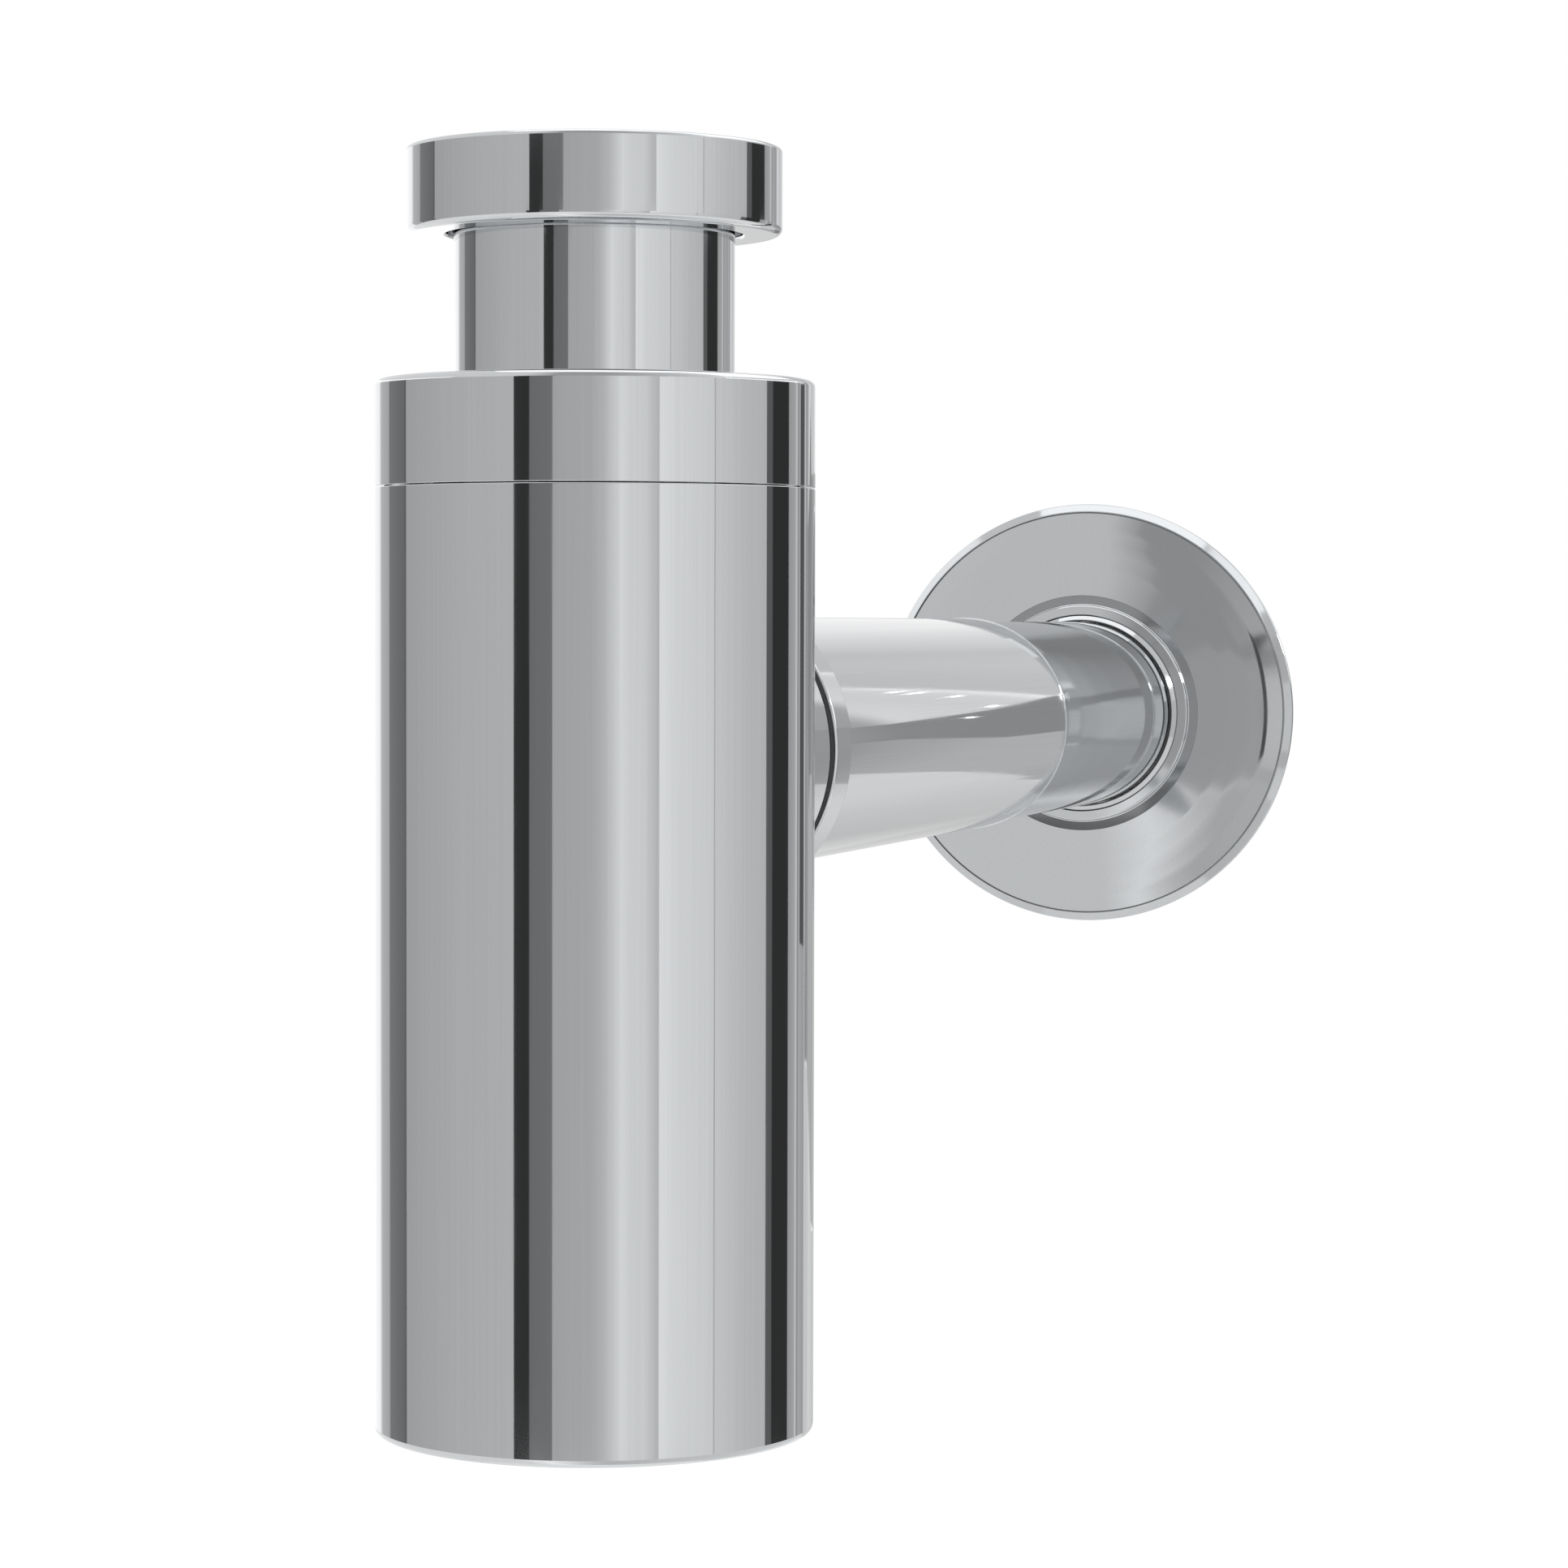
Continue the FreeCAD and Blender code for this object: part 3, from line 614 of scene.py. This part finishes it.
def turn_for(node, name, outline, axis, finish=None, cutter=None):
    """Turn the piece that takes the place of a CAD node, from the node's radius and ends, and cut it
    where a cutter is given."""
    piece = turn(name, outline(sizes(), *span(node, axis)), axis, finish)
    if cutter:
        cut(piece, cutter)
    stand_for(piece, node)


def paint(node, finish):
    """Give a CAD node that stays as it is a material."""
    mesh = frame["nodes"][node].data
    mesh.materials.clear()
    mesh.materials.append(material(finish))


def polished_copy(name, node, finish):
    """Copy of a CAD node with its triangles joined and its gentle edges smooth."""
    mesh = frame["nodes"][node].data.copy()
    piece = add_object(name, mesh)
    mesh.materials.clear()
    mesh.materials.append(material(finish))
    weld = piece.modifiers.new("Weld", "WELD")
    weld.merge_threshold = weld_distance
    apply_modifier(piece, weld)
    piece.data.shade_smooth()
    piece.data.set_sharp_from_angle(angle=sharp_facet)
    return piece


def cut(piece, cutter):
    """Cut one piece with another, which is then removed."""
    modifier = piece.modifiers.new("Cut", "BOOLEAN")
    modifier.operation = "DIFFERENCE"
    modifier.solver = "EXACT"
    modifier.object = cutter
    apply_modifier(piece, modifier)
    piece.data.set_sharp_from_angle(angle=sharp_edge)
    bpy.data.objects.remove(cutter)


def round_bar(name, radius, low, high, axis):
    """Closed bar on the inlet's or the arm's axis."""
    steps = sizes().turn_steps
    points = []
    for reach in (low, high):
        for k in range(steps):
            turned = 2 * math.pi * (k + 0.5) / steps
            points.append((radius * math.cos(turned), radius * math.sin(turned), reach))
    faces = [(k, (k + 1) % steps, steps + (k + 1) % steps, steps + k) for k in range(steps)]
    faces.append(tuple(reversed(range(steps))))
    faces.append(tuple(range(steps, 2 * steps)))
    mesh = new_mesh(name, points, faces)
    if axis == along_arm:
        mesh.transform(Matrix.Translation((0, 0, arm_height())) @ Matrix.Rotation(-math.pi / 2, 4, "X"))
    return add_object(name, mesh)


# Outlines of the pieces, from the sizes and from the radius and the two ends of the CAD node
def ring_outline(inner, outer, low, high, corner):
    """Plain ring."""
    return [(inner, low, corner), (outer, low, corner), (outer, high, corner), (inner, high, corner)]


def sleeve_outline(s, radius, low, high):
    return ring_outline(radius - s.sleeve_wall, radius, low, high, s.fine_round)


def gasket_outline(s, radius, low, high):
    bore = pipe_radius() - s.pipe_wall + s.edge_round
    return ring_outline(bore, radius, low, high, s.fine_round)


def stop_ring_outline(s, radius, low, high):
    return ring_outline(s.thread_radius + s.running_clearance, radius, low, high, s.edge_round)


def union_nut_outline(s, radius, low, high):
    pocket = span("inlet_cover_sleeve", upright)[0] + s.nut_pocket_clearance
    pocket_top = low + s.nut_pocket_depth
    hole = pipe_radius() + s.hole_clearance
    return [
        (pocket, low, s.edge_round),
        (radius, low, s.nut_foot_round),
        (radius, high, s.nut_top_round),
        (s.thread_radius + s.thread_chamfer / 2, high),
        (s.thread_radius, high - s.thread_chamfer / 2),
        (s.thread_radius, s.nut_thread_start),
        (s.thread_radius, pocket_top + s.nut_shoulder),
        (hole, pocket_top + s.nut_shoulder),
        (hole, pocket_top),
        (pocket, pocket_top),
    ]


def inlet_tube_outline(s, flange, low, high):
    bore = pipe_radius() - s.pipe_wall
    return [
        (bore, low, s.fine_round),
        (pipe_radius(), low, s.edge_round),
        (pipe_radius(), high - s.flange_thickness, s.edge_round),
        (flange, high - s.flange_thickness, s.fine_round),
        (flange, high, s.fine_round),
        (bore, high, s.fillet),
    ]


def head_cap_outline(s, radius, low, high):
    plate = high - s.cap_plate
    hole = pipe_radius() + s.hole_clearance
    bore = s.thread_radius + s.loose_clearance
    hub = bore + s.cap_hub
    return [
        (hole, high, s.edge_round),
        (radius, high, s.cap_round),
        (radius, low, s.seam_round),
        (radius - s.cap_skirt, low),
        (radius - s.cap_skirt, plate, s.fillet),
        (hub, plate, s.fillet),
        (hub, low),
        (bore + s.thread_chamfer, low),
        (bore, low + s.thread_chamfer),
        (bore, plate),
        (hole, plate),
    ]


def body_shell_outline(s, radius, low, high):
    plug_head = span("cleaning_plug", upright)[0]
    seal_top = span("cleaning_plug_seal", upright)[2]
    recess = plug_head + s.loose_clearance
    bush = recess + s.bush_wall
    bore = radius - s.shell_wall
    plug_bore = plug_head - s.plug_overhang + s.loose_clearance
    hole_room = span("outlet_boss", along_arm)[0]
    return [
        (recess, low, s.fine_round),
        (radius, low, s.fillet),
        (radius, arm_height() - hole_room),
        (radius, arm_height() + hole_room),
        (radius, high + s.seam_lip, s.seam_round),
        (bore, high + s.seam_lip),
        (bore, arm_height() + hole_room),
        (bore, arm_height() - hole_room),
        (bore, low + s.shell_floor, 2 * s.fillet),
        (bush, low + s.shell_floor, s.fillet),
        (bush, low + s.bush_height, s.edge_round),
        (plug_bore, low + s.bush_height, s.fine_round),
        (plug_bore, seal_top),
        (recess, seal_top),
    ]


def saddle_outline(s, radius, low, high):
    end = span("outlet_stop_ring", along_arm)[1]
    return [
        (s.spigot_radius, s.spigot_start),
        (radius, s.spigot_start),
        (radius, end, s.nut_top_round),
        (s.spigot_radius, end),
    ]


def neck_outline(s, radius, low, mouth):
    end = span("outlet_stop_ring", along_arm)[1]
    seat = mouth - s.seat_depth
    hole = pipe_radius() + s.hole_clearance
    fit = pipe_radius() + s.running_clearance
    bore = pipe_radius() - s.pipe_wall
    socket = s.spigot_start + s.pipe_stop
    return [
        (bore, s.spigot_start, s.fine_round),
        (s.spigot_radius, s.spigot_start, s.fine_round),
        (s.spigot_radius, end),
        (s.thread_radius, end),
        (s.thread_radius, mouth - s.neck_chamfer),
        (s.thread_radius - s.neck_chamfer, mouth),
        (pipe_radius() + s.seat_width, mouth),
        (hole, seat),
        (fit, seat),
        (fit, socket),
        (bore, socket),
    ]


def outlet_nut_outline(s, radius, low, high):
    bore = s.thread_radius + s.loose_clearance
    hole = pipe_radius() + s.hole_clearance
    return [
        (bore + s.thread_chamfer, low),
        (radius, low, s.edge_round),
        (radius, high, s.outlet_round),
        (hole, high, s.fine_round),
        (hole, high - s.outlet_plate),
        (bore, high - s.outlet_plate),
        (bore, low + s.thread_chamfer),
    ]


def wall_tube_outline(s, radius, low, high):
    mark = span("rosette", along_arm)[2] + s.mark_offset
    groove = radius - s.mark_depth
    return [
        (radius - s.pipe_wall, low, s.fine_round),
        (radius, low, s.edge_round),
        (radius, mark),
        (groove, mark),
        (groove, mark + s.mark_offset),
        (radius, mark + s.mark_offset),
        (radius, high - s.pipe_chamfer),
        (radius - s.edge_round, high),
        (radius - s.pipe_wall, high),
    ]


def arm_sleeve_outline(s, bead, low, high):
    radius = bead - s.bead_height
    bore = radius - s.sleeve_wall
    return [
        (bore, low, s.fine_round),
        (radius, low, s.fine_round),
        (radius, high - s.bead_length, s.fine_round),
        (bead, high - s.bead_length, s.fine_round),
        (bead, high, s.edge_round),
        (bore, high, s.fine_round),
    ]


def rosette_outline(s, radius, front, back):
    sleeve = span("wall_cover_sleeve", along_arm)[0]
    hole = sleeve + s.loose_clearance
    bead = hole + s.collar_bead
    bead_foot = front + s.collar_bead_rise
    recess = sleeve + s.grip_ring_gap
    recess_start = front + s.collar_recess
    collar = recess + s.collar_wall
    rim_inner = radius - s.rim_width
    rim_front = back - s.rim_height
    foot = rim_inner - s.rim_step
    at, reach = foot, rim_front + s.rim_step
    dish = []
    for width, rise, bend in (
            (s.dish_edge_width, s.dish_edge_rise, s.dish_edge_round),
            (s.dish_middle_width, s.dish_middle_rise, s.dish_round),
            (s.dish_face_width, s.dish_face_rise, s.dish_round)):
        at -= width
        reach -= rise
        dish.append((at, reach, bend))
    land_reach = reach - s.dish_centre_rise
    return [
        (radius, back, s.edge_round),
        (radius, rim_front + s.rim_bevel_depth, s.edge_round),
        (radius - s.rim_bevel, rim_front, s.edge_round),
        (rim_inner, rim_front),
        (rim_inner - s.rim_crease, rim_front + s.rim_crease),
        *dish,
        (collar + s.collar_land, land_reach),
        (collar, land_reach, s.rim_step),
        (collar, bead_foot + s.collar_slope, s.collar_round),
        (bead + 2 * s.collar_crease, bead_foot),
        (bead + s.collar_crease, bead_foot + s.collar_crease),
        (hole + s.collar_crease, front, s.collar_crease),
        (hole, front + s.collar_crease, s.collar_crease),
        (hole, recess_start),
        (recess, recess_start),
        (recess, land_reach + s.rosette_sheet, s.fine_round),
        *[(at, reach + s.rosette_sheet, bend) for at, reach, bend in reversed(dish)],
        (foot, back, s.fine_round),
    ]


class TrapOperator:
    """Shared settings of the operators."""
    bl_options = {"REGISTER", "UNDO"}


class TRAP_OT_inlet_nut(TrapOperator, bpy.types.Operator):
    """Turn the union nut at the inlet and wind its inside thread"""
    bl_idname = "trap.inlet_nut"
    bl_label = "Inlet nut"

    def execute(self, context):
        s = sizes()
        turn_for("inlet_union_nut", "inlet_nut", union_nut_outline, upright)
        top = span("inlet_union_nut", upright)[2]
        thread = wind_thread(
            "inlet_nut_thread", s.thread_radius, s.nut_thread_start, top, "turned_brass")
        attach(thread, "inlet_nut")
        return {"FINISHED"}


class TRAP_OT_pipes(TrapOperator, bpy.types.Operator):
    """Turn the inlet tube and the wall tube"""
    bl_idname = "trap.pipes"
    bl_label = "Pipes"

    def execute(self, context):
        turn_for("inlet_tube", "inlet_pipe", inlet_tube_outline, upright)
        turn_for("wall_tube", "wall_pipe", wall_tube_outline, along_arm)
        return {"FINISHED"}


class TRAP_OT_head(TrapOperator, bpy.types.Operator):
    """Turn the head cap and the short sleeve above it"""
    bl_idname = "trap.head"
    bl_label = "Head cap and sleeve"

    def execute(self, context):
        turn_for("head_cap", "screwed_cap", head_cap_outline, upright)
        turn_for("inlet_cover_sleeve", "inlet_sleeve", sleeve_outline, upright)
        return {"FINISHED"}


class TRAP_OT_body(TrapOperator, bpy.types.Operator):
    """Turn the body shell, cut its outlet hole, and finish its collar, plug and seals"""
    bl_idname = "trap.body"
    bl_label = "Body"

    def execute(self, context):
        s = sizes()
        hole = s.spigot_radius + s.running_clearance
        reach = span("body_shell", upright)[0] + s.fillet
        cutter = round_bar("hole_cutter", hole, 0, reach, along_arm)
        turn_for("body_shell", "body_tube", body_shell_outline, upright, cutter=cutter)
        stand_for(polished_copy("cleaning_cap", "cleaning_plug", "upright_chrome"), "cleaning_plug")
        paint("body_collar", "upright_chrome")
        paint("cleaning_plug_seal", "moulded_rubber")
        return {"FINISHED"}


class TRAP_OT_outlet(TrapOperator, bpy.types.Operator):
    """Finish the outlet boss and turn the union nut and the stop ring on it"""
    bl_idname = "trap.outlet"
    bl_label = "Outlet joint"

    def execute(self, context):
        turn_for("outlet_boss", "threaded_neck", neck_outline, along_arm)
        body, low, high = span("body_shell", upright)
        cutter = round_bar("saddle_cutter", body + sizes().running_clearance, low, high, upright)
        turn_for("outlet_boss", "saddle_boss", saddle_outline, along_arm, cutter=cutter)
        turn_for("outlet_union_nut", "outlet_nut", outlet_nut_outline, along_arm)
        turn_for("outlet_stop_ring", "stop_ring", stop_ring_outline, along_arm, "moulded_rubber")
        return {"FINISHED"}


class TRAP_OT_sleeves(TrapOperator, bpy.types.Operator):
    """Turn the two cover sleeves of the arm"""
    bl_idname = "trap.sleeves"
    bl_label = "Arm sleeves"

    def execute(self, context):
        turn_for("arm_cover_sleeve", "outer_sleeve", arm_sleeve_outline, along_arm)
        turn_for("wall_cover_sleeve", "inner_sleeve", sleeve_outline, along_arm)
        return {"FINISHED"}


class TRAP_OT_rosette(TrapOperator, bpy.types.Operator):
    """Spin the rosette and finish its grip ring"""
    bl_idname = "trap.rosette"
    bl_label = "Rosette"

    def execute(self, context):
        turn_for("rosette", "wall_rosette", rosette_outline, along_arm, "spun_chrome")
        paint("rosette_grip_ring", "moulded_polyethylene")
        return {"FINISHED"}


class TRAP_OT_seals(TrapOperator, bpy.types.Operator):
    """Finish the rubber seals and the hard slip rings"""
    bl_idname = "trap.seals"
    bl_label = "Seals and slip rings"

    def execute(self, context):
        turn_for("inlet_gasket", "flat_gasket", gasket_outline, upright, "moulded_rubber")
        for node in ("inlet_sleeve_ring", "inlet_cone_seal", "outlet_cone_seal", "arm_sleeve_ring_near",
                     "arm_sleeve_ring_far", "wall_sleeve_ring_near", "wall_sleeve_ring_far"):
            paint(node, "moulded_rubber")
        for node in ("inlet_slip_ring", "outlet_slip_ring"):
            paint(node, "moulded_polyethylene")
        return {"FINISHED"}


# Reflector cards stand side by side in rings round the inlet's axis. Each ring starts at an angle in
# degrees from the front, and each of its cards has the angle where it ends and its glow at either end.
body_start = -160
body_cards = (
    (-129.7, 1.25, 1.22), (-125.7, 1.22, 0.66), (-113.9, 0.64, 0.55), (-96.6, 0.28, 0.21),
    (-95, 0.17, 0.17), (-84.6, 0.54, 0.56), (-57.5, 0.57, 0.635), (-23.1, 0.64, 0.68),
    (-14.8, 0.05, 0.042), (-2.8, 0.225, 0.245), (17, 0.57, 0.61), (23.5, 0.61, 0.72),
    (31.6, 0.72, 1.03), (36.1, 1.07, 1.0), (44.2, 0.98, 0.95), (51.7, 0.95, 0.69),
    (60.3, 1.14, 1.04), (82.4, 1.03, 0.93), (83.1, 0.55, 0.55), (100.5, 0.88, 0.77),
    (118.2, 0.76, 0.7), (123.4, 0.16, 0.14), (138.7, 0.042, 0.042), (146.7, 0.46, 0.56),
    (149, 0.78, 0.78), (151.2, 0.42, 0.42), (160, 0.58, 0.45))
# Above this angle the cards that the inlet nut shows step sideways.
step_angle = -100
# A curved card has a row of vertices at least this often, in degrees.
card_step = 3
# Cards above and below the body's own, far off and close to the trap, where the rosette shows them. At
# the right the near ones above stand in two rows.
outer_start = -180
right_start = 90
front_cards = ((-18, 0.93, 0.93), (-3, 0.93, 0.58), (25, 0.5, 0.5), (60, 0.5, 0.75), (90, 0.75, 1.0))
right_card = (150, 1.6, 1.8)
right_foot_card = (150, 0.9, 0.85)
sky_cards = ((-60, 1.7, 1.5), *front_cards, right_card)
upper_cards = ((-60, 1.05, 0.93), *front_cards)
lower_cards = (
    (-60, 1.05, 1.0), (-20, 1.0, 1.0), (-4, 1.0, 1.3), (14, 1.3, 0.88), (25, 0.88, 0.72),
    (60, 0.72, 0.8), (150, 0.8, 0.95))
# Flat cards beside the arm that only the rosette shows: left, right, lower and upper edge in metres,
# and the glow.
side_cards = (
    (-0.065, -0.02, -0.105, -0.047, 0.5),
    (0.087, 0.106, -0.114, -0.018, 0.12),
)
# Boards behind the rosette, where the arm's sleeves look. Each is a strip of stations: the angle, the
# lower and the upper edge there in metres, and the glow.
arm_boards = {
    "ceiling": (
        (169.8, 0.03, 0.7, 0.7), (172, 0, 0.7, 0.71), (175, 0, 0.7, 0.74), (178.5, 0, 0.7, 0.7),
        (181, 0, 0.7, 0.79), (184, 0, 0.7, 0.86), (188, 0, 0.7, 0.98), (200, 0, 0.7, 1.0)),
    "window": (
        (160, -0.02, 0.7, 0.45), (165.3, -0.02, 0.7, 0.5), (166, -0.02, 0.7, 0.95), (168, 0, 0.7, 0.85),
        (169.2, 0.02, 0.7, 0.88), (169.8, 0.03, 0.7, 1.25)),
    "dark_door": (
        (160, -0.12, -0.02, 0.42), (164.5, -0.1, -0.02, 0.43), (165.7, -0.1, -0.02, 0.35),
        (168, -0.135, 0, 0.33), (169.8, -0.12, 0.03, 0.33), (172, -0.12, 0, 0.35), (200, -0.12, 0, 0.8)),
    "wall": (
        (160, -0.235, -0.12, 0.38), (164.5, -0.235, -0.1, 0.42), (165.7, -0.24, -0.1, 0.5),
        (168, -0.255, -0.135, 0.57), (169.8, -0.265, -0.12, 0.57), (172, -0.28, -0.12, 0.56),
        (174, -0.3, -0.12, 0.5), (185, -0.305, -0.12, 0.6), (200, -0.305, -0.12, 0.85)),
    "table": (
        (160, -0.6, -0.235, 0.8), (166, -0.6, -0.24, 0.77), (168, -0.6, -0.255, 0.87),
        (172, -0.6, -0.28, 0.83), (176, -0.6, -0.305, 0.74), (179, -0.6, -0.305, 0.69),
        (184, -0.6, -0.305, 0.63), (190, -0.6, -0.305, 0.78), (200, -0.6, -0.305, 1.0)),
}
# The small lamps behind the rosette that the arm's sleeve shows as sparks: how far right and how high,
# in metres.
sparks = (
    (0.0734, -0.018), (0.0717, -0.0238), (0.0693, -0.0356), (0.0693, -0.0532), (0.0776, -0.0629))
# Angles between which the lamp stands that rounded rims show as a bright dot.
rim_lamp = (86, 96)


def board(name, points, glow, finish="reflector_card"):
    """Strip of board through pairs of points, seen only in polished metal."""
    faces = [(k, k + 1, k + 3, k + 2) for k in range(0, len(points) - 2, 2)]
    mesh = new_mesh(name, points, faces)
    mesh.attributes.new("glow", "FLOAT", "POINT").data.foreach_set("value", glow)
    mesh.materials.append(material(finish))
    strip = add_object(name, mesh)
    strip.visible_camera = False
    strip.visible_diffuse = False
    strip.visible_shadow = False


def round_board(name, radius, stations):
    """Curved board through stations of angle, lower and upper edge, and glow."""
    points = []
    glow = []
    for degrees, low, high, strength in stations:
        along = math.radians(degrees)
        points += [(radius * math.sin(along), -radius * math.cos(along), height) for height in (low, high)]
        glow += [strength] * 2
    board(name, points, glow)


def card(name, radius, start, end, low, high, first, last):
    """Curved board between two angles and two heights, whose glow runs from first to last."""
    steps = math.ceil((end - start) / card_step)
    shares = [k / steps for k in range(steps + 1)]
    round_board(name, radius, [
        (start + (end - start) * share, low, high, first + (last - first) * share) for share in shares])


def card_ring(name, radius, low, high, start, cards, lean=0):
    """Curved boards side by side. Past the step angle they stand further on, by a share of the way."""
    for end, first, last in cards:
        left, right = (at + max(0, at - step_angle) * lean for at in (start, end))
        card(name, radius, left, right, low, high, first, last)
        start = end


def flat_card(name, left, right, along, low, high, strength, finish):
    """Flat board across the arm."""
    corners = [(x, along, z) for x in (left, right) for z in (low, high)]
    board(name, corners, [strength] * 4, finish)


class TRAP_OT_stage(TrapOperator, bpy.types.Operator):
    """Set up the floor, the lamps, the reflector cards and the camera"""
    bl_idname = "trap.stage"
    bl_label = "Stage"

    def execute(self, context):
        scene = context.scene
        studio = scene.trap_studio
        self.lay_floor(studio)
        self.place_cards(studio)
        self.light(scene, studio)
        self.frame_camera(scene, studio)
        scene.view_settings.view_transform = "Standard"
        return {"FINISHED"}

    def lay_floor(self, studio):
        """Wide sheet of paper far below the trap."""
        sides = ((-1, -1), (1, -1), (1, 1), (-1, 1))
        corners = [(x * studio.floor_reach, y * studio.floor_reach, studio.floor_height) for x, y in sides]
        mesh = new_mesh("floor", corners, [(0, 1, 2, 3)])
        mesh.materials.append(material("matt_paper"))
        add_object("floor", mesh)

    def place_cards(self, studio):
        """Everything that the metal alone sees: rings of cards, boards, flat cards and small lamps."""
        far = studio.ring_radius
        near = studio.near_radius
        rings = (
            ("body_card", far, studio.ring_foot, studio.ring_break, body_start, body_cards),
            ("nut_card", far, studio.ring_break, studio.ring_top, body_start, body_cards, studio.lean),
            ("sky_card", far, studio.ring_top, far, outer_start, sky_cards),
            ("near_card", near, studio.near_gap_top, studio.near_top, outer_start, upper_cards),
            ("near_card", near, studio.near_gap_top, studio.near_break, right_start, [right_foot_card]),
            ("near_card", near, studio.near_break, studio.near_top, right_start, [right_card]),
            ("near_card", near, studio.near_foot, studio.near_gap_foot, outer_start, lower_cards),
            ("ground_card", far, studio.floor_height, studio.ring_foot, outer_start, lower_cards),
        )
        for ring in rings:
            card_ring(*ring)
        for name, stations in arm_boards.items():
            round_board(name, studio.arm_radius, stations)
        reach = studio.zenith_reach
        corners = [(x, y, studio.zenith_height) for x in (-reach, reach) for y in (-reach, reach)]
        board("zenith", corners, [studio.zenith_glow] * 4)
        for left, right, low, high, glow in side_cards:
            flat_card("side_card", left, right, studio.side_card_place, low, high, glow, "rosette_card")
        size = studio.spark_size
        for x, z in sparks:
            flat_card("spark", x - size / 2, x + size / 2, studio.spark_place, z - size, z + size,
                      studio.spark_glow, "spark_card")
        low = studio.lamp_height - studio.lamp_size / 2
        high = low + studio.lamp_size
        card("rim_lamp", studio.lamp_radius, *rim_lamp, low, high, studio.lamp_glow, studio.lamp_glow)

    def light(self, scene, studio):
        """White world for the camera and the metal, an even light for matt pieces, and one soft lamp."""
        world = bpy.data.worlds.new("studio")
        scene.world = world
        world.use_nodes = True
        tree = world.node_tree
        strength = add_node(tree, "ShaderNodeMath", {"operation": "MAXIMUM"}, {
            0: seen_background(tree), 1: studio.ambient})
        background = tree.nodes["Background"]
        background.inputs["Color"].default_value = (1, 1, 1, 1)
        tree.links.new(strength.outputs[0], background.inputs["Strength"])
        lamp = bpy.data.lights.new("key", "AREA")
        lamp.shape = "SQUARE"
        lamp.size = studio.key_size
        lamp.energy = studio.key_power
        key = add_object("key", lamp)
        key.location = studio.key_place
        aim = Vector(studio.key_target) - Vector(studio.key_place)
        key.rotation_euler = aim.to_track_quat("-Z", "Y").to_euler()
        key.visible_glossy = False

    def frame_camera(self, scene, studio):
        """Camera at the photograph's place and tilt."""
        data = bpy.data.cameras.new("camera")
        for key in ("sensor_width", "lens", "clip_start", "clip_end"):
            setattr(data, key, getattr(studio, key))
        camera = add_object("camera", data)
        a, e, r = studio.azimuth, studio.elevation, studio.roll
        back = Vector((math.sin(a) * math.cos(e), -math.cos(a) * math.cos(e), math.sin(e)))
        level = Vector((math.cos(a), math.sin(a), 0))
        above = back.cross(level)
        right = level * math.cos(r) + above * math.sin(r)
        up = above * math.cos(r) - level * math.sin(r)
        turn_to = Matrix((right, up, back)).transposed().to_4x4()
        camera.matrix_world = Matrix.Translation(studio.camera_place) @ turn_to
        scene.camera = camera


operators = (
    TRAP_OT_inlet_nut,
    TRAP_OT_pipes,
    TRAP_OT_head,
    TRAP_OT_body,
    TRAP_OT_outlet,
    TRAP_OT_sleeves,
    TRAP_OT_rosette,
    TRAP_OT_seals,
    TRAP_OT_stage,
)


# The settings that a scene carries, by their names in it.
groups = {"trap_sizes": TrapSizes, "trap_colours": TrapColours, "trap_studio": StudioSettings}


class TRAP_PT_build(bpy.types.Panel):
    """Lists the pieces to build, and the sizes, colours and studio settings"""
    bl_idname = "TRAP_PT_build"
    bl_label = "Bottle trap"
    bl_space_type = "VIEW_3D"
    bl_region_type = "UI"
    bl_category = "Bottle Trap"

    def draw(self, context):
        for operator in operators:
            self.layout.operator(operator.bl_idname)
        for name, group in groups.items():
            column = self.layout.column()
            for key in group.__annotations__:
                column.prop(getattr(context.scene, name), key)


classes = (*groups.values(), *operators, TRAP_PT_build)


def register():
    for item in classes:
        bpy.utils.register_class(item)
    for name, group in groups.items():
        setattr(bpy.types.Scene, name, PointerProperty(type=group))


def unregister():
    for name in groups:
        delattr(bpy.types.Scene, name)
    for item in reversed(classes):
        bpy.utils.unregister_class(item)


def main():
    register()
    for operator in operators:
        group, name = operator.bl_idname.split(".")
        getattr(getattr(bpy.ops, group), name)()


if __name__ == "__main__":
    main()
